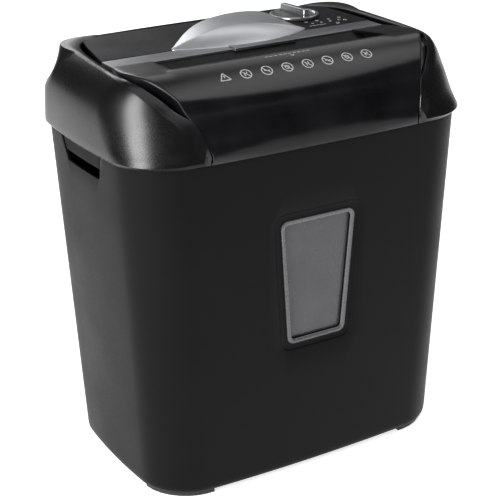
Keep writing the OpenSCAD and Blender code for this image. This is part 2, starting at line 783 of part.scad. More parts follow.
// Spur gear along X from x0, centred on [y, z], bored for its shaft
module gear(x0, w, y, n, m, turn, bore) {
    on_drive_side() translate([x0, y, nip_z]) rotate([90, 0, 90]) linear_extrude(w) difference() {
        rotate(turn) polygon([for (p = gear_points(n, m)) [p[0] * cos(p[1]), p[0] * sin(p[1])]]);
        circle(d = bore);
    }
}

sync_teeth = 20;
sync_module = cutter_gap / sync_teeth;
sync_x = -plate_x - plate_t - 10;
drive_teeth = 36;
drive_module = 1.5;
b_small = 14;
b_large = 40;
b_module = 1.25;
a_small = 13;
a_large = 50;
a_module = 1;
pinion_teeth = 12;
gear_x1 = plate_x + plate_t + 3;
gear_w1 = 8;
gear_x2 = gear_x1 + gear_w1 + 1.5;
gear_w2 = 6;
gear_x3 = gear_x2 + gear_w2 + 1.5;
gear_w3 = 5;

module front_sync_gear() {
    color(steel) gear(sync_x, 8, front_y, sync_teeth, sync_module, 0, shaft_d);
}
module rear_sync_gear() {
    color(steel) gear(sync_x, 8, rear_y, sync_teeth, sync_module, 180 / sync_teeth, shaft_d);
}
module rear_drive_gear() {
    color(steel) gear(gear_x1, gear_w1, rear_y, drive_teeth, drive_module, 180 / drive_teeth, shaft_d);
}
module compound_gear_b() {
    color(nylon) {
        gear(gear_x1, gear_w1 + 1.5, gear_b_y, b_small, drive_module, 180, post_d + 2 * run_fit);
        gear(gear_x2, gear_w2, gear_b_y, b_large, b_module, 180 / b_large, post_d + 2 * run_fit);
    }
}
module compound_gear_a() {
    color(nylon) {
        gear(gear_x2, gear_w2 + 1.5, gear_a_y, a_small, b_module, 180, post_d + 2 * run_fit);
        gear(gear_x3, gear_w3, gear_a_y, a_large, a_module, 180 / a_large, post_d + 2 * run_fit);
    }
}

cover_x = gear_x3 + gear_w3 + 1.5;
cover_t = 2;
module gear_posts() {
    color(steel) on_drive_side() for (y = [gear_b_y, gear_a_y]) rod_x(plate_x, cover_x, y, nip_z, post_d);
}

// Cap over the gear train, standing off the side plate on four legs
module gear_cover() {
    color("#1a1a1d") on_drive_side() {
        along_x(cover_x, cover_x + cover_t) translate([rear_y - 37, plate_low + 2])
            square([motor_y - rear_y + 56, plate_high - plate_low - 11]);
        for (y = [rear_y - 33, motor_y + 15], z = [plate_low + 6, plate_high - 15])
            rod_x(plate_x + plate_t, cover_x, y, z, 6);
    }
}

// ---------- motor ----------

can_d = 50;
can_len = 62;
motor_shaft_d = 6;
can_x = plate_x - 3;
module motor_can() {
    color("#9a9da0") on_drive_side() difference() {
        rod_x(can_x - can_len, can_x, motor_y, motor_z, can_d);
        rod_x(can_x - can_len - 1, can_x - 3, motor_y, motor_z, can_d - 5);
        rod_x(can_x - 4, can_x + 1, motor_y, motor_z, motor_shaft_d + 2 * run_fit);
        for (a = [0, 180]) rod_x(can_x - 4, can_x + 1, motor_y + 19 * cos(a), motor_z + 19 * sin(a), 4.2);
    }
}

module motor_endbell() {
    color("#1e1e22") on_drive_side() difference() {
        union() {
            rod_x(can_x - can_len - 5, can_x - can_len, motor_y, motor_z, can_d);
            rod_x(can_x - can_len - 9, can_x - can_len - 5, motor_y, motor_z, 16);
        }
        rod_x(can_x - can_len - 10, can_x, motor_y, motor_z, motor_shaft_d + 2 * run_fit);
    }
}

module motor_shaft() {
    color(steel) on_drive_side() {
        rod_x(can_x - can_len - 24, gear_x3 + gear_w3, motor_y, motor_z, motor_shaft_d);
        rod_x(can_x - can_len + 8, can_x - 10, motor_y, motor_z, can_d - 14);
    }
}

module motor_pinion() {
    color(steel) gear(gear_x3, gear_w3, motor_y, pinion_teeth, a_module, 180, motor_shaft_d);
}

fan_blades = 7;
module motor_fan() {
    color("#26262a") on_drive_side() {
        difference() {
            rod_x(can_x - can_len - 22, can_x - can_len - 12, motor_y, motor_z, 12);
            rod_x(can_x - can_len - 30, can_x - can_len, motor_y, motor_z, motor_shaft_d);
        }
        for (i = [0:fan_blades - 1]) translate([can_x - can_len - 22, motor_y, motor_z])
            rotate([i * 360 / fan_blades, 0, 0]) translate([1, 4.5, -0.8]) cube([8, 15.5, 1.6]);
    }
}

module motor_bracket() {
    color(steel) on_drive_side() difference() {
        block([can_x - can_len + 10, motor_y - 30, plate_low], [can_x - can_len + 24, motor_y + 30, motor_z + 6]);
        rod_x(can_x - can_len, can_x, motor_y, motor_z, can_d);
        block([can_x - can_len, motor_y - 29, plate_low + 2], [can_x, motor_y - 24, motor_z + 3]);
        block([can_x - can_len, motor_y + 24, plate_low + 2], [can_x, motor_y + 29, motor_z + 3]);
    }
}

module thermal_cutout() {
    color("#c8b98a") on_drive_side() block([can_x - 50, motor_y - 11, motor_z + can_d / 2 + 0.3], [can_x - 24, motor_y + 3, motor_z + can_d / 2 + 5.3]);
}

// ---------- lower housing ----------

tray_low = rim_z - 16;
tray_wall = 2.5;
tray_gap = 2.5;
module tray_form(inset) {
    loft([for (z = [tray_low, head_z + 1.5])
        level(outline(bin_hw(rim_z) - bin_wall - tray_gap - 2 - inset, bin_hd(rim_z) - bin_wall - tray_gap - 1 - inset,
                      bin_hd(rim_z) - bin_wall - tray_gap - 1 - inset, corner_r - 6 - inset, corner_r - 6 - inset,
                      bow_x, bow_y), z + (z > tray_low && inset > 0 ? 1 : 0) + (z == tray_low && inset > 0 ? tray_wall : 0))]);
}

module lower_housing() {
    color("#19191b") {
        difference() {
            tray_form(0);
            tray_form(tray_wall);
            // Chute under the cutters
            block([-plate_x + 4, front_y - 22, tray_low - 1], [plate_x - 4, rear_y + 22, tray_low + 4]);
            // Cooling slots under the motor
            on_drive_side() for (i = [0:6])
                block([can_x - 60 + i * 8, motor_y - 14, tray_low - 1], [can_x - 56 + i * 8, motor_y + 14, tray_low + 4]);
            translate([interlock_x, interlock_y, tray_low - 1]) cylinder(h = 6, d = plunger_d + 2 * run_fit);
            // Room for the bin's grip notches and the head's skirts
            mirrored() block([rim_hw - 16, notch_y - 52, tray_low - 1], [rim_hw + 10, notch_y + 60, head_z + 3]);
            for (x = [-1, 1], y = [-1, 1]) translate([x * boss_x, y * boss_y, tray_low - 1]) cylinder(h = 6, d = 3.4);
        }
        mirrored() block([rim_hw - 18.5, notch_y - 54, tray_low], [rim_hw - 16, notch_y + 62, head_z + 1.5]);
        // Feet that carry the side plates
        for (x = [-plate_x - plate_t - 4, plate_x + plate_t], y = [front_y - 28, rear_y + 22])
            block([x, y, tray_low + tray_wall - eps], [x + 4, y + 8, plate_low + 6]);
    }
}
boss_x = 130;
boss_y = 84;

// ---------- interlock ----------

plunger_d = 6;
plunger_travel = 4;
switch_z = tray_low + tray_wall + 10;
interlock_z = tray_low - plunger_travel;
module interlock_plunger() {
    color("#d8d4c8") {
        translate([interlock_x, interlock_y, interlock_z]) cylinder(h = switch_z - interlock_z, d = plunger_d);
    }
}

module interlock_switch() {
    color("#1f1f24") difference() {
        block([interlock_x - 6, interlock_y - 11, tray_low + tray_wall], [interlock_x + 6, interlock_y + 11, tray_low + 30]);
        translate([interlock_x, interlock_y, tray_low]) cylinder(h = switch_z - tray_low + plunger_travel + 1, d = plunger_d + 2 * run_fit);
    }
}

// ---------- cord inlet and screws ----------

module cord_inlet() {
    color("#0f0f10") translate([inlet_x, 0, inlet_z]) rotate([-90, 0, 0]) difference() {
        union() {
            translate([0, 0, inlet_y - 8]) cylinder(h = 9, d = inlet_d - 0.2);
            translate([0, 0, inlet_y]) cylinder(h = 2.4, d = inlet_flange);
        }
        translate([0, 0, inlet_y - 9]) cylinder(h = 20, d = 7.4);
    }
}

screw_d = 4;
module mechanism_screws() {
    color("#a7abb0") for (p = rod_places, s = [-1, 1]) {
        rod_x(s > 0 ? plate_x + plate_t : -plate_x - plate_t - 2.4, s > 0 ? plate_x + plate_t + 2.4 : -plate_x - plate_t,
              p.x, p.y, 7.5);
        rod_x(s > 0 ? plate_x - 11 : -plate_x - plate_t, s > 0 ? plate_x + plate_t : -plate_x + 11, p.x, p.y, 3.3);
    }
}

module housing_screws() {
    color("#a7abb0") for (x = [-1, 1], y = [-1, 1]) translate([x * boss_x, y * boss_y, 0]) {
        translate([0, 0, tray_low - 2]) cylinder(h = 2, d = 7);
        translate([0, 0, tray_low - 1]) cylinder(h = 14, d = 3.3);
    }
}

bin_shell();
window_frame();
window_pane();
bin_feet();
interlock_tab();
head_shell();
front_panel();
groove_liner();
top_panel();
disc_guide();
slot_throat();
lower_housing();
control_dial();
dial_spindle();
rotary_switch();
indicator_lenses();
control_board();
sensor_lever();
sensor_housing();
sensor_pin();
drive_side_plate();
idle_side_plate();
tie_rods();
shaft_bushes();
comb(front_y, 0, -1);  // front_stripper
comb(rear_y, disc_pitch / 2, 1);  // rear_stripper
cutter_shaft(front_y, sync_x - 2, plate_x + plate_t + 2);  // front_cutter_shaft
disc_row(front_y, 0, 1);  // front_cutter_discs
front_sync_gear();
cutter_shaft(rear_y, sync_x - 2, gear_x1 + gear_w1 + 1);  // rear_cutter_shaft
disc_row(rear_y, disc_pitch / 2, -1);  // rear_cutter_discs
rear_sync_gear();
rear_drive_gear();
compound_gear_a();
compound_gear_b();
gear_posts();
gear_cover();
motor_can();
motor_endbell();
motor_shaft();
motor_pinion();
motor_fan();
motor_bracket();
thermal_cutout();
interlock_switch();
interlock_plunger();
cord_inlet();
mechanism_screws();
housing_screws();
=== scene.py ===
import json
import math

import bmesh
import bpy
from mathutils import Matrix, Vector


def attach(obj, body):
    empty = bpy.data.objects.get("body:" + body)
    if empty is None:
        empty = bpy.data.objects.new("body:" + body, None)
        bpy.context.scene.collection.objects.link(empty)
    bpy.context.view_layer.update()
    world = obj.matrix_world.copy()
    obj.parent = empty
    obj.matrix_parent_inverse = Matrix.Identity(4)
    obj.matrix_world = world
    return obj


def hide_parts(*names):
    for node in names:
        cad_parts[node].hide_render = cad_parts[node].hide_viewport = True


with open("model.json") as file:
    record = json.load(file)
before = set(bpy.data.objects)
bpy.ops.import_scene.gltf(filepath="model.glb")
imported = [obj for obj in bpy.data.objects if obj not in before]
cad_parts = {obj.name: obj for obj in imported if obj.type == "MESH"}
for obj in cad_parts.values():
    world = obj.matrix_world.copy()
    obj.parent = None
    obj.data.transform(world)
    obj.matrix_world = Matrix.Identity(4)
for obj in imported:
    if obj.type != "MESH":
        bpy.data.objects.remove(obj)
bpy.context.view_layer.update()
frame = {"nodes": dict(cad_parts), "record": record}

# ---------------------------------------------------------------------------
# The waste bin is one injection moulding in satin black polypropylene: four
# bowed walls with rounded corners that widen to the rim, and a closed floor.
# Grip notches are cut in its two sides and an opening for the window in front.

MM = 0.001
RIM_Z, FLOOR_Z, WALL = 320.0, 4.0, 2.6
RIM_HALF, BASE_HALF = (167.0, 104.5), (152.0, 97.5)
BOW = (6.9, 6.0)
CORNER_R = 42.0
CORNER_STEPS, SIDE_STEPS = 14, 14


def swell(x, y, half_x, half_y, bow_x, bow_y):
    """Bows a straight-sided outline outwards, most in the middle of each side."""
    return (x * (1 + bow_x / half_x * (1 - (y / half_y) ** 2)),
            y * (1 + bow_y / half_y * (1 - (x / half_x) ** 2)))


def bin_share(z):
    return (z - FLOOR_Z) / (RIM_Z - FLOOR_Z)


def bin_half(z):
    share = bin_share(z)
    return [BASE_HALF[i] + (RIM_HALF[i] - BASE_HALF[i]) * share for i in (0, 1)]


def bin_line(z, inset):
    """The bin's outline at height z, pulled in by inset, as a closed row of points."""
    half_x, half_y = (side - inset for side in bin_half(z))
    radius = CORNER_R - inset
    line = []
    for quarter in range(4):
        centre = Vector(((half_x - radius) * (1 if quarter in (0, 3) else -1),
                         (half_y - radius) * (1 if quarter in (0, 1) else -1)))
        for step in range(CORNER_STEPS + 1):
            turn = math.radians(90 * (quarter + step / CORNER_STEPS))
            line.append(centre + radius * Vector((math.cos(turn), math.sin(turn))))
        ahead = quarter + 1
        target = Vector(((half_x - radius) * (1 if ahead % 4 in (0, 3) else -1),
                         (half_y - radius) * (1 if ahead % 4 in (0, 1) else -1)))
        turn = math.pi / 2 * ahead
        target += radius * Vector((round(math.cos(turn)), round(math.sin(turn))))
        start = line[-1].copy()
        line += [start.lerp(target, step / SIDE_STEPS) for step in range(1, SIDE_STEPS)]
    return [(*swell(p.x, p.y, half_x, half_y, *BOW), z) for p in line]


def hoop(bm, line):
    """A closed ring of edges through the points of line."""
    made = bmesh.ops.create_circle(bm, segments=len(line), radius=1.0, cap_ends=False)
    for corner, place in zip(made["verts"], line):
        corner.co = Vector(place) * MM
    return list({edge for corner in made["verts"] for edge in corner.link_edges})


def sleeve(bm, lines, cap_first=False, cap_last=False):
    """A skin through a stack of closed rings, closed at either end if asked."""
    rings = [hoop(bm, line) for line in lines]
    for lower, upper in zip(rings, rings[1:]):
        bmesh.ops.bridge_loops(bm, edges=lower + upper)
    for wanted, ring in ((cap_first, rings[0]), (cap_last, rings[-1])):
        if wanted:
            cap = bmesh.ops.contextual_create(bm, geom=ring)["faces"]
            bmesh.ops.triangulate(bm, faces=cap)
    return rings


def placed(bm, name):
    """Makes an object of a bmesh and puts it in the scene."""
    mesh = bpy.data.meshes.new(name)
    bm.to_mesh(mesh)
    bm.free()
    made = bpy.data.objects.new(name, mesh)
    bpy.context.scene.collection.objects.link(made)
    return made


def finished(bm, name, body, stands_for=(), smooth=30.0, recalculate=True):
    """Turns a bmesh into a piece of the object that rides on a CAD body."""
    bmesh.ops.remove_doubles(bm, verts=bm.verts, dist=1e-6)
    if recalculate:
        bmesh.ops.recalc_face_normals(bm, faces=bm.faces)
    piece = placed(bm, name)
    piece.data.shade_smooth()
    piece.data.set_sharp_from_angle(angle=math.radians(smooth))
    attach(piece, body)
    if stands_for:
        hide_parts(*stands_for)
    return piece


def settle(piece, smooth=30.0):
    """Applies a piece's modifiers, so that its mesh is what shows."""
    shown = piece.evaluated_get(bpy.context.evaluated_depsgraph_get())
    mesh = bpy.data.meshes.new_from_object(shown)
    piece.modifiers.clear()
    piece.data = mesh
    mesh.shade_smooth()
    mesh.set_sharp_from_angle(angle=math.radians(smooth))


def carve(piece, tool):
    """Cuts a tool's volume out of a piece and throws the tool away."""
    cut = piece.modifiers.new("cut", "BOOLEAN")
    cut.operation, cut.solver, cut.object = "DIFFERENCE", "EXACT", tool
    settle(piece)
    bpy.data.objects.remove(tool)


def bar(name, section, along, start, end):
    """A prism used as a cutting tool: section is a closed row of points drawn out along x or y."""
    bm = bmesh.new()
    place = (lambda a, b, at: (at, a, b)) if along == "x" else (lambda a, b, at: (a, at, b))
    sleeve(bm, [[place(a, b, at) for a, b in section] for at in (start, end)], True, True)
    bmesh.ops.recalc_face_normals(bm, faces=bm.faces)
    return placed(bm, name)


def rounded(corners, radius, steps=6):
    """A closed row of points with each corner of a polygon rounded to a radius."""
    line = []
    for before, corner, after in zip(corners[-1:] + corners[:-1], corners, corners[1:] + corners[:1]):
        here = Vector(corner)
        back, ahead = (Vector(before) - here).normalized(), (Vector(after) - here).normalized()
        half = back.angle(ahead) / 2
        reach = radius / math.tan(half)
        centre = here + (back + ahead).normalized() * (radius / math.sin(half))
        first, last = here + back * reach - centre, here + ahead * reach - centre
        sweep = first.angle_signed(last)
        for step in range(steps + 1):
            turn = -sweep * step / steps
            line.append(centre + Vector((first.x * math.cos(turn) - first.y * math.sin(turn),
                                         first.x * math.sin(turn) + first.y * math.cos(turn))))
    return [tuple(point) for point in line]


# The notch leans outwards towards the rim and its corners are rounded
NOTCH_Z, NOTCH_FRONT, NOTCH_REAR = 296.0, -34.0, 30.0
SPREAD_FRONT, SPREAD_REAR, PAST_RIM = 6, 12, 20
notch_corners = [(NOTCH_FRONT, NOTCH_Z), (NOTCH_REAR, NOTCH_Z), (NOTCH_REAR + SPREAD_REAR, RIM_Z),
                 (NOTCH_REAR + SPREAD_REAR, RIM_Z + PAST_RIM), (NOTCH_FRONT - SPREAD_FRONT, RIM_Z + PAST_RIM),
                 (NOTCH_FRONT - SPREAD_FRONT, RIM_Z)]
# The window is a tall trapezium, wider at its top
WINDOW_LOW, WINDOW_HIGH, WINDOW_BASE, WINDOW_TOP = 138.0, 249.0, 26.0, 34.5


def window_line(grow, radius):
    low, high = WINDOW_LOW - grow, WINDOW_HIGH + grow
    base, top = WINDOW_BASE + grow, WINDOW_TOP + grow
    return rounded([(-base, low), (base, low), (top, high), (-top, high)], radius, 8)


SURROUND = 12.0
bin_mesh = bmesh.new()
floor_curve = [(6.0, 0.0), (3.4, 0.5), (1.5, 1.9), (0.4, 4.2), (0.0, 7.0)]
levels = [14, 40, 70, 100, 130, 160, 190, 220, 250, 280, 300, 312, 318.8]
skin = [bin_line(FLOOR_Z + rise, inset) for inset, rise in floor_curve] + [bin_line(z, 0) for z in levels]
skin += [bin_line(RIM_Z - 0.3, 0.2), bin_line(RIM_Z, 0.9), bin_line(RIM_Z, 1.8), bin_line(RIM_Z - 0.4, WALL)]
skin += [bin_line(z, WALL) for z in (300, 250, 200, 150, 100, 50, 14)]
skin += [bin_line(FLOOR_Z + WALL + 1.5, WALL + 2.0), bin_line(FLOOR_Z + WALL, WALL + 5.0)]
sleeve(bin_mesh, skin, True, True)
bin_piece = finished(bin_mesh, "waste_bin", "bin", ["bin_shell"])
carve(bin_piece, bar("notch_tool", rounded(notch_corners, 3.0), "x", -200, 200))
carve(bin_piece, bar("window_tool", window_line(SURROUND - 0.15, 13.0), "y", -160, -80))
edge = bin_piece.modifiers.new("edge", "BEVEL")
edge.width, edge.segments, edge.limit_method, edge.angle_limit = 0.35 * MM, 2, "ANGLE", math.radians(50)
settle(bin_piece, 28)


class Value:
    """One output of a shader node, which can stand in a sum or a product."""

    def __init__(self, finish, socket):
        self.finish, self.socket = finish, socket

    def maths(self, operation, first, second):
        return self.finish.node("ShaderNodeMath", {"operation": operation}, {0: first, 1: second})

    def __add__(self, other):
        return self.maths("ADD", self, other)

    def __radd__(self, other):
        return self.maths("ADD", other, self)

    def __sub__(self, other):
        return self.maths("SUBTRACT", self, other)

    def __rsub__(self, other):
        return self.maths("SUBTRACT", other, self)

    def __mul__(self, other):
        return self.maths("MULTIPLY", self, other)

    def __rmul__(self, other):
        return self.maths("MULTIPLY", other, self)


class Finish:
    """A material and the shader nodes that make it."""

    def __init__(self, name):
        self.material = bpy.data.materials.new(name)
        self.material.use_nodes = True
        self.tree = self.material.node_tree
        self.shader = next(node for node in self.tree.nodes if node.type == "BSDF_PRINCIPLED")
        self.place = self.node("ShaderNodeTexCoord", {}, {}, "Object")

    def connect(self, socket, value):
        if isinstance(value, Value):
            self.tree.links.new(value.socket, socket)
        else:
            socket.default_value = value

    def node(self, kind, settings, inputs, out=0):
        made = self.tree.nodes.new(kind)
        for setting, value in settings.items():
            if setting == "stops":
                ramp = made.color_ramp.elements
                while len(ramp) < len(value):
                    ramp.new(0.5)
                for stop, (at, shade) in zip(ramp, value):
                    stop.position, stop.color = at, (shade, shade, shade, 1)
            else:
                setattr(made, setting, value)
        for socket, value in inputs.items():
            self.connect(made.inputs[socket], value)
        return Value(self, made.outputs[out])

    def noise(self, size, detail=3.0, stretch=None):
        """Noise whose grains are about size millimetres across."""
        place = self.place
        if stretch:
            place = self.node("ShaderNodeMapping", {}, {"Vector": place, "Scale": stretch})
        return self.node("ShaderNodeTexNoise", {},
                         {"Vector": place, "Scale": 1.0 / (size * MM), "Detail": detail})

    def ramp(self, value, *stops):
        return self.node("ShaderNodeValToRGB", {"stops": stops}, {"Fac": value})

    def blend(self, share, first, second):
        """A colour between two colours."""
        return self.node("ShaderNodeMix", {"data_type": "RGBA"},
                         {0: share, 6: (*first, 1), 7: (*second, 1)}, 2)

    def bump(self, height, depth, under=None):
        inputs = {"Height": height, "Strength": 1.0, "Distance": depth * MM}
        if under:
            inputs["Normal"] = under
        return self.node("ShaderNodeBump", {}, inputs)

    def set(self, **sockets):
        for name, value in sockets.items():
            self.connect(self.shader.inputs[name.replace("_", " ").title().replace("Ior", "IOR")], value)
        return self.material


def moulded(name, dark, pale, rough, grain, depth, spread=0.12, **more):
    """Moulded plastic: a spark-eroded grain, with slow changes of shade and sheen as handling leaves."""
    finish = Finish(name)
    cloud = finish.ramp(finish.noise(60, 4), (0.35, 0), (0.7, 1))
    fine = finish.noise(grain, 2)
    speck = finish.ramp(finish.noise(grain * 3, 3), (0.45, 0), (0.62, 1))
    sheen = rough + spread * (cloud - 0.5) + spread * 0.7 * (speck - 0.5)
    skin = finish.bump(fine, depth, finish.bump(finish.noise(25, 2), depth * 1.5))
    return finish.set(base_color=finish.blend(0.6 * cloud + 0.4 * speck, dark, pale), roughness=sheen,
                      normal=skin, **more)


satin = moulded("satin_black_plastic", (0.0025, 0.0025, 0.0027), (0.0045, 0.0045, 0.0049), 0.45, 0.45, 0.02,
                0.08, specular_ior_level=0.09)
bin_piece.data.materials.append(satin)

# ---------------------------------------------------------------------------
# Round the window the wall drops into a shallow recess. It is one
# black ring in the wall's opening, with the window's deep inner wall behind it.


def front_wall(x, z, inset):
    half_x, half_y = (side - inset for side in bin_half(z))
    return (x, -(half_y + BOW[1] * (1 - (x / half_x) ** 2)), z)


def wall_rings(steps):
    """Rings round the window, each given as its growth outwards, its depth and its corner radius."""
    return [[front_wall(x, z, inset) for x, z in window_line(grow, radius)] for grow, inset, radius in steps]


def closed_ring(name, steps, stands_for=(), smooth=32):
    bm = bmesh.new()
    rings = [hoop(bm, line) for line in wall_rings(steps)]
    for ring, following in zip(rings, rings[1:] + rings[:1]):
        bmesh.ops.bridge_loops(bm, edges=ring + following)
    return finished(bm, name, "bin", stands_for, smooth)


surround = closed_ring("window_surround", [
    (SURROUND, 2.4, 13), (SURROUND, 0.35, 13), (SURROUND - 0.3, 0.1, 12.7), (SURROUND - 0.9, 0.1, 12.1),
    (SURROUND - 1.4, 0.8, 11.6), (SURROUND - 2.0, 1.1, 11), (4.3, 1.1, 7), (4.3, 2.4, 7)])
surround.data.materials.append(satin)
reveal = closed_ring("window_reveal", [
    (4.2, 1.3, 7), (4.2, 3.7, 7), (0.1, 3.7, 4), (0.1, 1.3, 4)])
reveal.data.materials.append(satin)

# ---------------------------------------------------------------------------
# The window's bezel is a grey frame with a chamfer on both edges, snapped into
# the recess so that it stands just proud of it.

bezel = closed_ring("window_bezel", [
    (4.1, 1.25, 7), (4.1, 0.15, 7), (3.6, -0.35, 6.6), (2.9, -0.45, 6), (1.1, -0.05, 4.8),
    (0.5, 0.4, 4.2), (0.1, 1.0, 4), (0.1, 1.25, 4)], ["window_frame"])
bezel.data.materials.append(moulded("bezel_grey_plastic", (0.07, 0.071, 0.075), (0.1, 0.101, 0.105),
                                    0.3, 0.5, 0.006, specular_ior_level=0.6))

# ---------------------------------------------------------------------------
# The pane is a bowed sheet of smoked plastic behind the bezel. Wiping and the
# paper inside leave faint haze and hairline scratches in it.

bm = bmesh.new()
sleeve(bm, wall_rings([(3.9, 3.8, 6), (3.9, 5.4, 6)]), True, True)
bmesh.ops.triangulate(bm, faces=[face for face in bm.faces if len(face.verts) > 4])
pane = finished(bm, "window_pane_sheet", "bin", ["window_pane"], 30)
smoke = Finish("smoked_window_plastic")
haze = smoke.ramp(smoke.noise(35, 5), (0.3, 0), (0.75, 1))
scratch = smoke.ramp(smoke.noise(0.5, 2, (1.0, 1.0, 0.03)), (0.62, 0), (0.7, 1))
smoke.set(base_color=smoke.blend(haze, (0.06, 0.06, 0.065), (0.084, 0.084, 0.09)), alpha=0.86,
          roughness=0.16 + 0.1 * haze + 0.12 * scratch, normal=smoke.bump(smoke.noise(14, 2), 0.05),
          specular_ior_level=0.5)
pane.data.materials.append(smoke.material)

# ---------------------------------------------------------------------------
# The cutting head's cover is a satin black moulding that flares over the bin's
# rim. Its sides lean in to a creased edge, and a band runs from the crease to
# the groove that surrounds the panels. It lifts off with the whole head.

HEAD_Z, FLARE_Z, LEAN_Z, CREST_Z = RIM_Z - 2.2, RIM_Z + 1.6, RIM_Z + 3.5, 384.5
HEAD_RISE, CREST_SLOPE, OVERHANG = 73.5, 0.03, 3.6
FRONT_R, FRONT_Y, FRONT_Z = 72.0, -38.5, 317.5
LIP_Y, LIP_Z = -55.35, 387.5
COVER_WALL = 2.2
LOW_LEAN, SIDE_LEAN, REAR_LEAN, STEP_Z, STEP_RISE = 1.8, 17.4, 9.4, 350, 21
FRONT_CORNER_GAIN, FRONT_CORNER_RISE = 14, 59.5


def lean(z, corner=0.0):
    """How far the cover leans in at height z. Its rear corners step in lower down and stand steeper above."""
    share = max(0.0, (z - LEAN_Z) / (CREST_Z - LEAN_Z))
    step = min(1.0, max(0.0, (z - STEP_Z) / STEP_RISE))
    side, rear = SIDE_LEAN * share ** 4.6, REAR_LEAN * step * step * (3 - 2 * step)
    return LOW_LEAN * share + side + (rear - side) * corner


def flare(z):
    return 0.5 + (OVERHANG - 0.5) * min(1.0, (z - HEAD_Z) / (FLARE_Z - HEAD_Z))


def front_depth(z):
    if z <= FLARE_Z:
        return RIM_HALF[1] + flare(z)
    rolled = -FRONT_Y - BOW[1] + math.sqrt(max(FRONT_R ** 2 - (z - FRONT_Z) ** 2, 1))
    return max(rolled, RIM_HALF[1] + OVERHANG * (1 - (z - FLARE_Z) / 8))


def bow_share(z):
    return 1 - 0.75 * ((z - RIM_Z) / HEAD_RISE) ** 2


def cover_point(turn, z):
    """Where the cover's outside is at height z. Turn runs from 0, the middle of the front, through 1 and 2,
    the ends of the right front corner, 3 and 4, those of the rear corner, to 5, the middle of the back."""
    leant = lean(z, math.sin(math.pi * (turn - 3)) if 3 < turn < 4 else 0.0)
    half_x = RIM_HALF[0] + flare(z) - leant
    front, back = front_depth(z), RIM_HALF[1] + flare(z) - 0.75 * leant
    rise = min(1.0, max(0.0, (z - RIM_Z) / FRONT_CORNER_RISE))
    front_r = CORNER_R + FRONT_CORNER_GAIN * math.sin(math.pi * rise)
    if turn <= 1:
        x, y = (half_x - front_r) * turn, -front
    elif turn <= 2:
        angle = math.radians(90 * (turn - 2))
        x, y = half_x - front_r + front_r * math.cos(angle), -front + front_r + front_r * math.sin(angle)
    elif turn <= 3:
        x, y = half_x, (front_r - front) + (back - CORNER_R + front - front_r) * (turn - 2)
    elif turn <= 4:
        angle = math.radians(90 * (turn - 3))
        x, y = half_x - CORNER_R + CORNER_R * math.cos(angle), back - CORNER_R + CORNER_R * math.sin(angle)
    else:
        x, y = (half_x - CORNER_R) * (5 - turn), back
    share = bow_share(z)
    return Vector((*swell(x, y, half_x, back if y > 0 else front, BOW[0] * share, BOW[1] * share), z))


def eased(points, steps=8):
    """A smooth curve through a few points."""
    curve = []
    for i in range(len(points) - 1):
        near = [min(max(i + k, 0), len(points) - 1) for k in (-1, 0, 1, 2)]
        before, start, end, after = (Vector(points[k]) for k in near)
        for step in range(steps):
            t = step / steps
            bend, twist = 2 * before - 5 * start + 4 * end - after, 3 * start - before - 3 * end + after
            curve.append(0.5 * (2 * start + (end - before) * t + bend * t ** 2 + twist * t ** 3))
    return curve + [Vector(points[-1])]


# The crease in plan and the band's inner edge, both from the middle of the back round to the front
creases = eased([(0, 93.5), (60, 93.3), (104, 92.4), (124, 88.5), (139, 78), (147.5, 62), (151.5, 40),
                 (153.5, 12), (155, -15), (156, -38), (156, -52), (150.5, -70), (142.5, -81.5), (131.5, -93),
                 (123, -103), (117, -108), (108, -114)])
band_edges = eased([(0, 92.4, 386.3), (60, 92.3, 386.3), (103, 91, 386.3), (121, 86, 386.2), (134, 75, 386),
                    (140.8, 60, 385.4), (144.5, 39, 384.6), (146.8, 12, 383.8), (148.8, -14, 383.2),
                    (149.8, -38, 383.2), (149.5, -54, 383), (144, -68, 379.3), (134.5, -80.5, 370.5),
                    (126, -88.5, 361.5), (116, -97, 354), (110, -105, 343), (105, -110.8, 322.5)])


def inside_crease(point):
    """How far a point is inside the crease's outline in plan, and where along it."""
    best = None
    for i in range(len(creases) - 1):
        start, along = creases[i], creases[i + 1] - creases[i]
        share = min(1.0, max(0.0, (point.xy - start).dot(along) / along.length_squared))
        away = point.xy - (start + along * share)
        if best is None or away.length < best[0]:
            best = (away.length, along.cross(away), i + share)
    return (best[0] if best[1] < 0 else -best[0]), best[2]


def crease_height(turn):
    """The height at which the cover's outside reaches the crease, and where along the crease that is."""
    low, high = HEAD_Z, LIP_Z
    for _ in range(22):
        middle = (low + high) / 2
        point = cover_point(turn, middle)
        if inside_crease(point)[0] > 0 or middle > CREST_Z + CREST_SLOPE * point.y:
            high = middle
        else:
            low = middle
    return low, inside_crease(cover_point(turn, low))[1]


def along(curve, place):
    start = min(int(place), len(curve) - 2)
    return curve[start].lerp(curve[start + 1], place - start)


def drape(bm, rows):
    """A grid whose corners go where the rows of points say."""
    high, wide = len(rows), len(rows[0])
    made = bmesh.ops.create_grid(bm, x_segments=wide - 1, y_segments=high - 1, size=1.0)["verts"]
    for corner in made:
        i, j = round((corner.co.x + 1) / 2 * (wide - 1)), round((corner.co.y + 1) / 2 * (high - 1))
        corner.co = Vector(rows[j][i]) * MM
    return made


def mirrored(bm):
    """Adds the other half of a piece that is the same on both sides."""
    bmesh.ops.remove_doubles(bm, verts=bm.verts, dist=1e-6)
    bmesh.ops.dissolve_degenerate(bm, dist=2e-6, edges=bm.edges)
    bmesh.ops.mirror(bm, geom=bm.verts[:] + bm.edges[:] + bm.faces[:], axis="X", merge_dist=2e-6)
    bmesh.ops.remove_doubles(bm, verts=bm.verts, dist=1e-6)


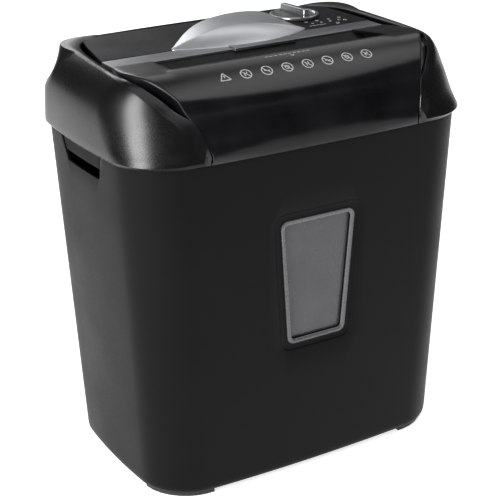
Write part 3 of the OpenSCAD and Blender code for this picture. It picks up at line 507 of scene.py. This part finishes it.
def thickened(piece, wall, smooth=30.0, rounding=0.0):
    """Gives a skin its wall, inwards, and rounds the wall's edges."""
    solid = piece.modifiers.new("wall", "SOLIDIFY")
    solid.thickness, solid.offset, solid.use_even_offset = wall * MM, -1, True
    solid.thickness_clamp = 0.5
    if rounding:
        edges = piece.modifiers.new("edges", "BEVEL")
        edges.width, edges.segments, edges.limit_method = rounding * MM, 3, "ANGLE"
        edges.angle_limit = math.radians(40)
    settle(piece, smooth)


def face_up(piece):
    """Turns a skin over if its faces look down."""
    if sum(face.normal.z * face.area for face in piece.data.polygons) < 0:
        piece.data.flip_normals()


FIRST_TURN = 0.845
turns = [FIRST_TURN + (1 - FIRST_TURN) * i / 10 for i in range(10)] + [1 + i / 26 for i in range(26)]
turns += [2 + i / 22 for i in range(22)] + [3 + i / 16 for i in range(16)] + [4 + i / 8 for i in range(9)]
BAND_STEPS, CREASE_ROUND, GROOVE_DEEP = 5, 0.9, 8.0
SIDE_ROWS, FLARE_TOP = 11, FLARE_Z + 0.8
foot_levels = (HEAD_Z, HEAD_Z + 1.2, FLARE_Z - 0.8, FLARE_Z - 0.2, FLARE_TOP)
columns = []
for turn in turns:
    top, place = crease_height(turn)
    crease, edge_point = cover_point(turn, top), along(band_edges, place)
    column = [cover_point(turn, min(z, top)) for z in foot_levels]
    reach = max(0.0, top - CREASE_ROUND - FLARE_TOP)
    column += [cover_point(turn, min(top, FLARE_TOP + reach * i / SIDE_ROWS))
               for i in range(1, SIDE_ROWS + 1)]
    below, inwards = column[-1], (edge_point - crease)
    width = inwards.length
    inwards.normalize()
    roll = min(CREASE_ROUND, width / 3)
    column += [below.lerp(crease, 0.55) + (crease + inwards * roll - below) * 0.12,
               crease + inwards * roll * 0.35, crease + inwards * roll]
    column += [crease + inwards * (roll + (width - 1.2 - roll) * i / BAND_STEPS)
               + Vector((0, 0, 0.35 * math.sin(math.pi * i / BAND_STEPS))) for i in range(1, BAND_STEPS + 1)]
    # The groove's wall goes straight down on top, and follows the roll in front
    drop, ahead = Vector((0, 0, -1)), min(1.0, max(0.0, (-75 - edge_point.y) / 36))
    if edge_point.y <= -50:
        drop = Vector((0, 0.62, -0.78)).lerp(Vector((0, 1, -0.1)).normalized(), ahead)
    column += [edge_point - inwards * 0.5 + drop * 0.12, edge_point + drop * 0.6, edge_point + drop * 1.4,
               edge_point + drop * GROOVE_DEEP - inwards * 0.6]
    columns.append(column)

bm = bmesh.new()
drape(bm, columns)
mirrored(bm)
cover = finished(bm, "head_cover", "head", ["head_shell"], 34)
if sum(face.center.xy.dot(face.normal.xy) for face in cover.data.polygons) < 0:
    cover.data.flip_normals()
thickened(cover, COVER_WALL, 34)

# Cooling slots over the motor, and the seat of the cord inlet
VENTS, VENT_X, VENT_PITCH, VENT_WIDE = 9, 28, 7, 3
VENT_LOW, VENT_HIGH = RIM_Z + 18, RIM_Z + 42
INLET_X, INLET_Z, INLET_R, INLET_STEPS = -120, 342, 9.6, 48
BACK_CUT = (80, 130)
bm = bmesh.new()
for i in range(VENTS):
    left = VENT_X + VENT_PITCH * i
    right = left + VENT_WIDE
    vent = rounded([(left, VENT_LOW), (right, VENT_LOW), (right, VENT_HIGH), (left, VENT_HIGH)], 1.4, 4)
    sleeve(bm, [[(x, y, z) for x, z in vent] for y in BACK_CUT], True, True)
inlet_turns = [math.radians(360 * i / INLET_STEPS) for i in range(INLET_STEPS)]
inlet = [(INLET_X + INLET_R * math.cos(turn), INLET_Z + INLET_R * math.sin(turn)) for turn in inlet_turns]
sleeve(bm, [[(x, y, z) for x, z in inlet] for y in BACK_CUT], True, True)
bmesh.ops.recalc_face_normals(bm, faces=bm.faces)
carve(cover, placed(bm, "vent_tool"))
cover.data.materials.append(moulded("cover_black_plastic", (0.002, 0.002, 0.0022), (0.0035, 0.0035, 0.0038),
                                    0.3, 0.4, 0.012, 0.06, specular_ior_level=0.5))

# ---------------------------------------------------------------------------
# A skirt on each side of the head drops inside the bin's grip notch, so the
# notch is a hand hold and not a hole. Both are part of the same moulding.

SKIRT_LOW, SKIRT_HIGH, SKIRT_GAP, SKIRT_INSET = RIM_Z - 14.5, HEAD_Z + 1.6, 1.5, 0.7
SKIRT_ROWS, SKIRT_COLUMNS = 6, 16
bm = bmesh.new()
rows = []
for i in range(SKIRT_ROWS + 1):
    z = SKIRT_LOW + (SKIRT_HIGH - SKIRT_LOW) * i / SKIRT_ROWS
    share = (z - NOTCH_Z) / (RIM_Z - NOTCH_Z)
    front = NOTCH_FRONT - SPREAD_FRONT * share + SKIRT_GAP
    rear = NOTCH_REAR + SPREAD_REAR * share - SKIRT_GAP
    half_x, half_y = (side - SKIRT_INSET for side in bin_half(z))
    row = [front + (rear - front) * j / SKIRT_COLUMNS for j in range(SKIRT_COLUMNS + 1)]
    rows.append([(half_x + BOW[0] * (1 - (y / half_y) ** 2), y, z) for y in row])
drape(bm, rows)
mirrored(bm)
for face in bm.faces:
    face.normal_update()
    if face.normal.x * face.calc_center_median().x < 0:
        face.normal_flip()
skirts = finished(bm, "grip_skirts", "head", recalculate=False)
thickened(skirts, 2.0, 34, 0.5)
# The skirts get a darker base colour and a duller sheen than the cover they are moulded with: painted shade
# for the shadow inside the hand hold.
skirts.data.materials.append(moulded("skirt_black_plastic", (0.001, 0.001, 0.0012), (0.0022, 0.0022, 0.0025),
                                     0.5, 0.5, 0.02, specular_ior_level=0.05))

# ---------------------------------------------------------------------------
# The front panel is a piano-black moulding rolled to a 72 mm radius. Its upper
# edge is the front lip of the paper slot, and its ends carry on past the slot
# to meet the guide strip. All its outer edges are rounded over.

PANEL_BACK_Y, STRIP_Z = -3.5, 382.5
SLOT_HALF, SLOT_TAPER = 111.0, 7.0
EASE_FROM, EASE_OVER, EASE_REACH, LIP_TURN = 108.0, 7.0, 17.0, 0.336
panel_edge = [(141.5, -3.5), (144.2, -14), (146.6, -28), (147, -38), (146, -48), (143, -57.5), (138.5, -66),
              (133, -74.5), (127.5, -82), (121.5, -90.5), (116, -97.5), (111.5, -103), (107, -107.5),
              (104, -110.5), (103, -114)]
edge_curve = eased(panel_edge)


def panel_end(y):
    """Half the panel's width at y."""
    for start, end in zip(edge_curve, edge_curve[1:]):
        if end.y <= y <= start.y:
            return start.lerp(end, (start.y - y) / (start.y - end.y)).x
    return edge_curve[0].x if y > edge_curve[0].y else edge_curve[-1].x


def rolled_y(x, z):
    """The panel's face: rolled, and bowed with the rim near its foot."""
    rolled = -FRONT_Y + math.sqrt(max(FRONT_R ** 2 - (z - FRONT_Z) ** 2, 1))
    half_x = RIM_HALF[0] + flare(z) - lean(z)
    return -min(rolled, front_depth(z) + BOW[1] * bow_share(z) * (1 - (x / half_x) ** 2))


def slot_end(y):
    share = (y - LIP_Y) / (PANEL_BACK_Y - LIP_Y)
    return SLOT_HALF - SLOT_TAPER * min(1.0, max(0.0, share))


def eased_lip(x, y):
    """How far the panel drops below its sharp lip past the slot's ends, where roll and deck run together."""
    past = min(1.0, max(0.0, (x - EASE_FROM) / EASE_OVER))
    return past * LIP_TURN / (4 * EASE_REACH) * max(0.0, EASE_REACH - abs(y - LIP_Y)) ** 2


INNER, OUTER, ROLL_ROWS = 14, 10, 34
EDGE_R, DECK_LIP_Z = 1.5, LIP_Z - 0.25
start_angle, lip_angle = (math.asin((z - FRONT_Z) / FRONT_R) for z in (HEAD_Z, LIP_Z))
roll_angles = [start_angle + (lip_angle - start_angle - 0.02) * i / ROLL_ROWS for i in range(ROLL_ROWS + 1)]
deck_shares = (0.012, 0.03, 0.06, 0.11, 0.17, 0.24, 0.32, 0.42, 0.55, 0.7, 0.85, 1.0)
profile = [("roll", FRONT_Z + FRONT_R * math.sin(angle)) for angle in roll_angles]
profile += [("deck", LIP_Y + (PANEL_BACK_Y - LIP_Y) * share) for share in deck_shares]
rows = []
for kind, value in profile:
    if kind == "roll":
        z = value
        y = rolled_y(0, z)
        end = panel_end(rolled_y(panel_end(y), z))
        place = lambda x, z=z: Vector((x, rolled_y(x, z), z - eased_lip(x, rolled_y(x, z))))
        normal = Vector((0, y - FRONT_Y, z - FRONT_Z)).normalized()
    else:
        y = value
        z = DECK_LIP_Z - (DECK_LIP_Z - STRIP_Z) * (y - LIP_Y) / (PANEL_BACK_Y - LIP_Y)
        end = panel_end(y)
        place = lambda x, y=y, z=z: Vector((x, y, z - eased_lip(x, y)))
        normal = Vector((0, 0.09, 1)).normalized()
    inner_end = min(slot_end(y), end - 6)
    row = [place(inner_end * i / INNER) for i in range(INNER + 1)]
    flat_end = end - EDGE_R
    row += [place(inner_end + (flat_end - inner_end) * i / OUTER) for i in range(1, OUTER + 1)]
    for turn in (22.5, 45, 67.5, 90):
        angle = math.radians(turn)
        row.append(place(flat_end + EDGE_R * math.sin(angle)) - normal * EDGE_R * (1 - math.cos(angle)))
    row.append(place(end + 0.2) - normal * 4.5)
    row.append(place(end + 0.4) - normal * 8.5)
    rows.append(row)
bm = bmesh.new()
drape(bm, rows)
# The deck behind the lip is open where the paper goes in
over_slot = []
for face in bm.faces:
    middle = face.calc_center_median() / MM
    if middle.y > LIP_Y + 2.2 and middle.x < slot_end(middle.y):
        over_slot.append(face)
bmesh.ops.delete(bm, geom=over_slot, context="FACES")
mirrored(bm)
bmesh.ops.recalc_face_normals(bm, faces=bm.faces)
front_panel = finished(bm, "front_panel_cover", "head", ["front_panel"], 36, recalculate=False)
face_up(front_panel)
thickened(front_panel, COVER_WALL, 36, 0.45)


def polished(name, colour, rough, wear, **more):
    """Piano-black plastic: a clear, almost mirror skin with moulding ripple and hairline wiping marks."""
    finish = Finish(name)
    cloud = finish.ramp(finish.noise(45, 4), (0.35, 0), (0.7, 1))
    hair = finish.ramp(finish.noise(0.6, 2, (0.03, 1.0, 1.0)), (0.6, 0), (0.72, 1))
    ripple = finish.bump(finish.noise(38, 1), 0.05)
    return finish.set(base_color=finish.blend(cloud, colour, [4 * shade + 0.001 for shade in colour]),
                      roughness=rough + wear * cloud + wear * hair, normal=ripple, **more)


gloss = polished("piano_black_plastic", (0.0015, 0.0015, 0.0019), 0.27, 0.04, specular_ior_level=0.35)
front_panel.data.materials.append(gloss)

# ---------------------------------------------------------------------------
# A glossy channel closes the groove between the cover's band and the panels.

GROOVE_STEPS, GROOVE_FLOOR, GROOVE_BACK_X = 120, 7.0, 125
bm = bmesh.new()
rows = []
for i in range(GROOVE_STEPS + 1):
    outer = along(band_edges, (len(band_edges) - 1) * (1 - i / GROOVE_STEPS))
    if outer.x < GROOVE_BACK_X and outer.y > 0:
        continue
    if outer.y < PANEL_BACK_Y:
        inner = Vector((panel_end(outer.y), outer.y, 0))
    else:
        inner = Vector((outer.x - 5, outer.y, 0))
    if outer.y > -56:
        down, z_in = Vector((0, 0, -GROOVE_FLOOR)), min(outer.z, STRIP_Z + 2)
        floor_out, floor_in = outer + down, Vector((inner.x - 2, outer.y, z_in)) + down
    else:
        radial = Vector((0, outer.y - FRONT_Y, outer.z - FRONT_Z)).normalized()
        floor_out = outer - radial * GROOVE_FLOOR
        floor_in = Vector((min(inner.x, outer.x) - 3, floor_out.y, floor_out.z))
    rows.append([floor_out + Vector((2.5, 0, 1.5)), floor_out.lerp(floor_in, 0.15),
                 floor_out.lerp(floor_in, 0.5) - Vector((0, 0, 0.8)), floor_in,
                 floor_in - Vector((5, 0, -0.5))])
drape(bm, rows)
mirrored(bm)
bmesh.ops.recalc_face_normals(bm, faces=bm.faces)
channel = finished(bm, "groove_channel", "head", ["groove_liner"], 40, recalculate=False)
face_up(channel)
thickened(channel, 1.0, 40)
channel.data.materials.append(gloss)

# ---------------------------------------------------------------------------
# The guide strip is a silver-painted bar behind the slot. A thin tab in its
# middle hangs over the slot where a disc goes in.

STRIP_FRONT, STRIP_REAR, STRIP_THICK = -6.4, 17.6, 3.0


def slab(bm, line, low, high, rounding, top=None):
    """A plate with a rounded upper edge. Its top may be tilted by giving its height as a function of y."""
    level = top or (lambda y: high)

    def pulled(inset, drop):
        places = []
        for before, here, after in zip(line[-1:] + line[:-1], line, line[1:] + line[:1]):
            way = (Vector(after) - Vector(before)).normalized()
            inwards = Vector((-way.y, way.x))
            spot = Vector(here) + inwards * inset
            places.append((spot.x, spot.y, level(spot.y) - drop))
        return places

    rings = [[(x, y, low if top is None else level(y) - (high - low)) for x, y in line]]
    for turn in (0, 22.5, 45, 67.5, 90):
        angle = math.radians(turn)
        rings.append(pulled(rounding * (1 - math.cos(angle)), rounding * (1 - math.sin(angle))))
    sleeve(bm, rings, True, True)


bm = bmesh.new()
strip_line = rounded([(-142.4, STRIP_FRONT - 1.6), (139.8, STRIP_FRONT + 0.8),
                      (139.4, STRIP_REAR), (-141.8, STRIP_REAR - 1)], 1.2, 4)
slab(bm, strip_line, STRIP_Z - STRIP_THICK, STRIP_Z + 0.2, 0.6)
strip = finished(bm, "guide_strip", "head", ["disc_guide"], 40)
bm = bmesh.new()
tab_line = rounded([(-24, -10.2), (40, -10.0), (40, 8), (-24, 8)], 1.0, 4)
slab(bm, tab_line, STRIP_Z - 1.5, STRIP_Z + 1.1, 0.5)
tab = finished(bm, "disc_tab", "head", smooth=40)


def metallic_paint(name, low, high, rough, metal=0.85):
    """Silver paint: a fine flake under a clear skin, a little cloudy, with hairline scuffs."""
    finish = Finish(name)
    cloud = finish.ramp(finish.noise(50, 4), (0.3, 0), (0.75, 1))
    flake = finish.noise(0.25, 2)
    scuff = finish.ramp(finish.noise(0.5, 2, (0.04, 1.0, 1.0)), (0.6, 0), (0.7, 1))
    return finish.set(base_color=finish.blend(0.6 * cloud + 0.4 * flake, low, high), metallic=metal,
                      roughness=rough + 0.08 * (cloud - 0.5) + 0.1 * (flake - 0.5) + 0.06 * scuff,
                      normal=finish.bump(flake, 0.012, finish.bump(finish.noise(30, 2), 0.05)))


strip_paint = metallic_paint("strip_silver_paint", (0.16, 0.165, 0.175), (0.24, 0.245, 0.255), 0.38)
strip.data.materials.append(strip_paint)
tab.data.materials.append(strip_paint)

# ---------------------------------------------------------------------------
# Behind the strip stands a half-round silver dome that carries a disc to the
# slot. Its front edge is a bow that runs over the strip.

DOME_TOP, DOME_WALL, DOME_FOOT = 394.0, 5.4, STRIP_Z + 0.4
DOME_MIDDLE = Vector((2, 34))
dome_plan = eased([(70, 20), (65.5, 32), (62.8, 46), (60.6, 60), (57.6, 72), (51, 81), (38, 85.5), (22, 85.2),
                   (6, 81), (-10, 74.5), (-26, 65), (-42, 51.5), (-57, 36), (-67, 25), (-72, 18.5), (-62, 13),
                   (-41, 5.4), (-16, 0), (8, -1.6), (30, 1.2), (50, 8.6), (63, 15.4), (70, 20)], 6)[:-1]


def deck_z(y):
    """The top panel's height at y."""
    return STRIP_Z + 0.052 * (y - 17)


def dome_ring(share, drop=0.0, pull=0.0):
    """The dome's outline shrunk to a share of its size and raised to the crown's curve."""
    ring = []
    for edge in dome_plan:
        behind = min(1.0, max(0.0, (edge.y - 15) / 62)) ** 0.8
        foot = DOME_FOOT + (max(deck_z(edge.y), STRIP_Z) + DOME_WALL - DOME_FOOT) * behind
        way = edge - DOME_MIDDLE
        spot = DOME_MIDDLE + way * share - way.normalized() * pull
        ring.append((spot.x, spot.y, foot + (DOME_TOP - foot) * (1 - share ** 2.1) - drop))
    return ring


bm = bmesh.new()
rings = [dome_ring(1.0, drop=1.6), dome_ring(1.0, drop=0.5), dome_ring(0.998, drop=0.1)]
crown_shares = (0.985, 0.96, 0.92, 0.87, 0.8, 0.72, 0.63, 0.54, 0.45, 0.36, 0.27, 0.18, 0.1, 0.04)
rings += [dome_ring(share) for share in crown_shares]
sleeve(bm, rings, True, True)
dome = finished(bm, "disc_dome", "head", smooth=60)
dome.data.materials.append(metallic_paint("dome_silver_paint", (0.42, 0.43, 0.45), (0.55, 0.56, 0.58), 0.36))
bm = bmesh.new()
wall_low = [[(x, y, STRIP_Z - 1) for x, y, z in dome_ring(1.0, pull=0.9)], dome_ring(1.0, 1.2, 0.9)]
sleeve(bm, wall_low, True, True)
wall = finished(bm, "dome_wall", "head", smooth=40)
wall.data.materials.append(gloss)

# ---------------------------------------------------------------------------
# The top panel behind the strip is a plate of textured black plastic. It slopes
# up a little to the back, and runs under the dome and the dial.

DIAL_X, DIAL_Y, DIAL_D = 87.0, 67.0, 48.0
DIAL_Z = deck_z(DIAL_Y)
panel_line = [(141, 18.2), (134.5, 60), (129, 83), (126.2, 88), (121, 91.4), (115, 92.3)]
panel_line = panel_line + [(-x, y) for x, y in reversed(panel_line)]
bm = bmesh.new()
slab(bm, panel_line, STRIP_Z - 2.5, STRIP_Z, 0.7, deck_z)
top_panel = finished(bm, "top_panel_cover", "head", ["top_panel"], 40)
top_panel.data.materials.append(moulded("panel_black_plastic", (0.004, 0.004, 0.005), (0.008, 0.008, 0.01),
                                        0.55, 0.5, 0.02, specular_ior_level=0.12))

# ---------------------------------------------------------------------------
# The control dial is a silver-painted knob with a raised finger grip across it.
# It presses on to the switch's spindle and turns between three settings.


def turned(centre, shape, steps=96):
    """Rings about an upright axis, for a shape given as radius and height."""
    turns = [2 * math.pi * i / steps for i in range(steps)]
    return [[(centre[0] + radius * math.cos(turn), centre[1] + radius * math.sin(turn), centre[2] + height)
             for turn in turns] for radius, height in shape]


bm = bmesh.new()
half_d = DIAL_D / 2
sleeve(bm, turned((DIAL_X, DIAL_Y, DIAL_Z), [
    (half_d - 0.2, -0.8), (half_d, 0), (half_d, 1.2), (half_d - 0.3, 1.9), (half_d - 1.2, 2.3),
    (half_d - 3.4, 2.4), (half_d - 4.0, 2.1), (half_d - 4.5, 1.5), (half_d - 5.2, 1.3), (8, 1.6),
    (2, 1.6)]), True, True)
dial = finished(bm, "control_dial_cap", "dial", ["control_dial"], 35)
bm = bmesh.new()
grip = rounded([(-3.4, -22.4), (3.4, -22.4), (3.0, 21.6), (-3.0, 21.6)], 1.6, 5)
grip_rings = []
for inset, z in [(-0.8, 0.8), (-0.3, 2.0), (0, 4.0), (0.2, 8.2), (0.45, 9.0), (1.0, 9.4)]:
    slope = 0.05 if z > 3 else 0
    grip_rings.append([(DIAL_X + x * (1 - inset / 3.4), DIAL_Y + y * (1 - inset / 22),
                        DIAL_Z + z - max(0, y) * slope) for x, y in grip])
sleeve(bm, grip_rings, True, True)
grip_piece = finished(bm, "dial_grip", "dial", smooth=35)
dial_paint = metallic_paint("dial_silver_paint", (0.3, 0.305, 0.315), (0.42, 0.425, 0.435), 0.3, 0.9)
dial.data.materials.append(dial_paint)
grip_piece.data.materials.append(dial_paint)

# ---------------------------------------------------------------------------
# Pad-printed marks: a plain triangle and seven rings on the front panel, a
# dashed line and an arrow at the lip, and dots and ticks round the dial.

INK_LIFT, INK_FILM = 0.08, 0.05
ROW_Z, RINGS, RING_X, PITCH, RING_R = 379.3, 7, -51.8, 20.5, 4.9
TRIANGLE_X, TRIANGLE_R, LINE_WIDE = -72.6, 5.6, 0.95
DASHES, DASH_X, DASH_PITCH, DASH_LONG, DASH_UP = 10, -24, 4.7, 3.1, 16.8


def on_roll(x, height):
    """A place on the rolled front, height millimetres up the skin from the row of marks."""
    angle = math.asin((ROW_Z - FRONT_Z) / FRONT_R) + height / FRONT_R
    z = FRONT_Z + (FRONT_R + INK_LIFT) * math.sin(angle)
    return Vector((x, min(rolled_y(x, z), FRONT_Y - (FRONT_R + INK_LIFT) * math.cos(angle)), z))


def on_deck(x, y):
    return Vector((x, y, deck_z(y) + INK_LIFT))


def printed_ring(bm, u, v, radius, width, place, sides=32):
    rings = []
    for size in (radius - width / 2, radius + width / 2):
        made = bmesh.ops.create_circle(bm, segments=sides, radius=size, cap_ends=False)["verts"]
        for corner in made:
            corner.co = place(u + corner.co.x, v + corner.co.y) * MM
        rings += list({edge for corner in made for edge in corner.link_edges})
    bmesh.ops.bridge_loops(bm, edges=rings)


def printed_bar(bm, start, end, width, place, parts=6):
    start, end = Vector(start), Vector(end)
    way = end - start
    side = Vector((-way.y, way.x)).normalized() * width / 2
    for corner in bmesh.ops.create_grid(bm, x_segments=parts, y_segments=1, size=1.0)["verts"]:
        spot = start + way * (corner.co.x + 1) / 2 + side * corner.co.y
        corner.co = place(spot.x, spot.y) * MM


def printed(bm, name, material, body="head"):
    """Turns marks into a thin film of ink that rides on a CAD body."""
    for face in bm.faces:
        face.normal_update()
        if face.normal.z < 0:
            face.normal_flip()
    piece = placed(bm, name)
    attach(piece, body)
    piece.data.materials.append(material)
    film = piece.modifiers.new("film", "SOLIDIFY")
    film.thickness, film.offset = INK_FILM * MM, 1
    settle(piece)


ink = Finish("white_printing_ink")
worn = ink.ramp(ink.noise(1.2, 3), (0.3, 0), (0.6, 1))
ink.set(base_color=ink.blend(worn, (0.34, 0.34, 0.35), (0.55, 0.55, 0.56)), roughness=0.45 + 0.1 * worn,
        normal=ink.bump(worn, 0.01))
bm = bmesh.new()
triangle_turns = [math.radians(90 + 120 * k) for k in range(3)]
corners = [(TRIANGLE_X + TRIANGLE_R * math.cos(turn), TRIANGLE_R * math.sin(turn) - 0.6)
           for turn in triangle_turns]
for start, end in zip(corners, corners[1:] + corners[:1]):
    printed_bar(bm, start, end, LINE_WIDE, on_roll)
printed_bar(bm, (TRIANGLE_X, 2.2), (TRIANGLE_X, -1.2), 0.7, on_roll)
for k in range(RINGS):
    x = RING_X + PITCH * k
    printed_ring(bm, x, 0, RING_R, LINE_WIDE, on_roll)
    printed_bar(bm, (x - 3.3, 3.3), (x + 3.3, -3.3), 0.8, on_roll)
    if k % 3 == 0:
        printed_bar(bm, (x - 1.4, -2.4), (x - 1.4, 0.8), 0.9, on_roll)
        printed_bar(bm, (x + 1.2, 2.6), (x + 1.2, 0.4), 0.9, on_roll)
    elif k % 3 == 1:
        printed_bar(bm, (x - 2.4, 0.2), (x - 0.2, 0.2), 1.1, on_roll)
        printed_bar(bm, (x + 0.6, -0.4), (x + 2.6, -0.4), 1.1, on_roll)
    else:
        printed_ring(bm, x - 0.2, 0, 1.9, 0.8, on_roll, 20)
for k in range(DASHES):
    x = DASH_X + DASH_PITCH * k
    printed_bar(bm, (x, DASH_UP), (x + DASH_LONG, DASH_UP), 0.7, on_roll, 2)
printed_bar(bm, (0.6, 14.8), (2.4, 12.6), 0.6, on_roll, 2)
printed_bar(bm, (4.2, 14.8), (2.4, 12.6), 0.6, on_roll, 2)
printed(bm, "panel_marks", ink.material)
bm = bmesh.new()
for x, y in ((91, 46.5), (108.7, 24), (120.8, 30)):
    printed_ring(bm, x, y, 1.5, 0.7, on_deck, 20)
for x, y in ((83, 39.6), (95, 39.6), (108, 39.2), (120.6, 39.6)):
    printed_bar(bm, (x - 2, y), (x + 2, y), 0.9, on_deck, 2)
    printed_bar(bm, (x, y - 1.8), (x, y + 1.8), 0.9, on_deck, 2)
printed_bar(bm, (78.6, 26.3), (96.8, 26.5), 0.8, on_deck, 2)
printed(bm, "dial_marks", ink.material)

# ---------------------------------------------------------------------------
# Everything else keeps the shape it was packed with: the paper throat, the
# rubber feet, the cord inlet, and the machine inside the head. Each gets the
# finish of what it is made of.


def metal(name, low, high, rough, grain, depth, stretch=None):
    """Bare or plated metal with its drawing or turning marks, and patches dulled by handling and oil."""
    finish = Finish(name)
    cloud = finish.ramp(finish.noise(18, 4), (0.35, 0), (0.7, 1))
    lines = finish.noise(grain, 3, stretch)
    return finish.set(base_color=finish.blend(0.7 * cloud + 0.3 * lines, low, high), metallic=1.0,
                      roughness=rough + 0.12 * cloud + 0.1 * (lines - 0.5), normal=finish.bump(lines, depth))


def board_coat(name):
    """Green solder mask over a faint pattern of tracks."""
    finish = Finish(name)
    tracks = finish.ramp(finish.noise(2.5, 0, (1.0, 0.15, 1.0)), (0.48, 0), (0.52, 1))
    return finish.set(base_color=finish.blend(tracks, (0.012, 0.07, 0.025), (0.03, 0.13, 0.05)),
                      roughness=0.3 + 0.1 * tracks, normal=finish.bump(tracks, 0.04))


finishes = {
    "satin_black": satin,
    "gloss_black": gloss,
    "throat_black": moulded("throat_black_plastic", (0.004, 0.004, 0.0045), (0.008, 0.008, 0.009),
                            0.55, 0.5, 0.02, specular_ior_level=0.1),
    "foot_rubber": moulded("black_rubber", (0.012, 0.012, 0.012), (0.028, 0.027, 0.026), 0.7, 0.8, 0.08),
    "inner_black": moulded("inner_black_plastic", (0.012, 0.012, 0.013), (0.03, 0.03, 0.032), 0.5, 0.7, 0.06),
    "nylon": moulded("natural_nylon", (0.5, 0.49, 0.45), (0.62, 0.61, 0.57), 0.42, 0.8, 0.03),
    "lens_clear": moulded("lamp_lens_plastic", (0.3, 0.31, 0.32), (0.4, 0.41, 0.42), 0.2, 0.5, 0.01),
    "ceramic_tan": moulded("thermal_cutout_ceramic", (0.36, 0.3, 0.22), (0.45, 0.38, 0.29), 0.6, 0.6, 0.05),
    "steel": metal("hardened_steel", (0.22, 0.22, 0.225), (0.36, 0.36, 0.365), 0.28, 0.5, 0.02,
                   (0.1, 1.0, 1.0)),
    "zinc_plate": metal("zinc_plated_steel", (0.42, 0.43, 0.44), (0.58, 0.59, 0.59), 0.34, 1.2, 0.02),
    "bronze": metal("sintered_bronze", (0.3, 0.19, 0.09), (0.42, 0.28, 0.14), 0.45, 0.3, 0.04),
    "board_green": board_coat("circuit_board_mask"),
}
for row in frame["record"]["subparts"]:
    node = frame["nodes"][row["node"]]
    if not node.hide_render:
        node.data.materials.clear()
        node.data.materials.append(finishes[row["material_slot"]])

# ---------------------------------------------------------------------------
# The shredder stands on a plain pale floor, among five softboxes: one overhead,
# a tall one at its left, a low one behind, and two that light its roll and its
# dome. A dim grey room is about it.

FLOOR_HALF = 14.0
bm = bmesh.new()
bmesh.ops.create_grid(bm, x_segments=2, y_segments=2, size=FLOOR_HALF)
floor = placed(bm, "pale_floor")
ground = Finish("pale_floor_paint")
ground.set(base_color=ground.blend(ground.noise(900, 2), (0.93, 0.93, 0.93), (0.95, 0.95, 0.95)),
           roughness=0.9, emission_color=(1, 1, 1, 1), emission_strength=0.8, specular_ior_level=0.1,
           normal=ground.bump(ground.noise(3, 2), 0.02))
floor.data.materials.append(ground.material)

world = bpy.data.worlds.new("grey_room")
world.use_nodes = True
room = world.node_tree.nodes["Background"].inputs
room["Color"].default_value, room["Strength"].default_value = (0.8, 0.82, 0.85, 1), 0.09
bpy.context.scene.world = world


def bearing(azimuth, elevation):
    """The direction to something seen from the shredder, azimuth 0 being straight in front."""
    around, up = math.radians(azimuth), math.radians(elevation)
    return Vector((math.sin(around) * math.cos(up), -math.cos(around) * math.cos(up), math.sin(up)))


def lamp(name, azimuth, elevation, distance, size, power, aim=(0, 0, 0.25)):
    """A softbox that faces the shredder."""
    back = bearing(azimuth, elevation)
    light = bpy.data.lights.new(name, "AREA")
    light.shape, light.size, light.size_y, light.energy = "RECTANGLE", size[0], size[1], power
    made = bpy.data.objects.new(name, light)
    made.location = Vector(aim) + back * distance
    made.rotation_euler = (-back).to_track_quat("-Z", "Y").to_euler()
    bpy.context.scene.collection.objects.link(made)


lamp("key_softbox", 72, 60, 2.3, (1.5, 0.8), 9)
lamp("dome_softbox", 140, 44, 2.3, (1.2, 0.8), 5)
lamp("overhead_softbox", -25, 75, 2.4, (2.4, 2.0), 16)
lamp("left_softbox", -70, 23, 1.6, (0.55, 1.1), 28)
lamp("rear_softbox", 172, 24, 2.2, (0.9, 0.9), 8)

# The camera looks down a little from the front left
AZIMUTH, ELEVATION, ROLL, DISTANCE = -30.55, 22.38, -0.83, 1.2976
AIM, SHIFT_RIGHT, SHIFT_UP = Vector((0, 0, 0.19394)), -0.00493, -0.01083
SENSOR, FOCAL = 36.0, 98.33
back, around, roll = bearing(AZIMUTH, ELEVATION), math.radians(AZIMUTH), math.radians(ROLL)
level = Vector((math.cos(around), math.sin(around), 0))
rise = back.cross(level)
right = level * math.cos(roll) + rise * math.sin(roll)
top = rise * math.cos(roll) - level * math.sin(roll)
lens = bpy.data.cameras.new("camera")
lens.sensor_width, lens.lens = SENSOR, FOCAL
camera = bpy.data.objects.new("camera", lens)
bpy.context.scene.collection.objects.link(camera)
spot = AIM + right * SHIFT_RIGHT + top * SHIFT_UP + back * DISTANCE
camera.matrix_world = Matrix(((right.x, top.x, back.x, spot.x), (right.y, top.y, back.y, spot.y),
                              (right.z, top.z, back.z, spot.z), (0, 0, 0, 1)))
bpy.context.scene.camera = camera
bpy.context.scene.view_settings.view_transform = "Standard"
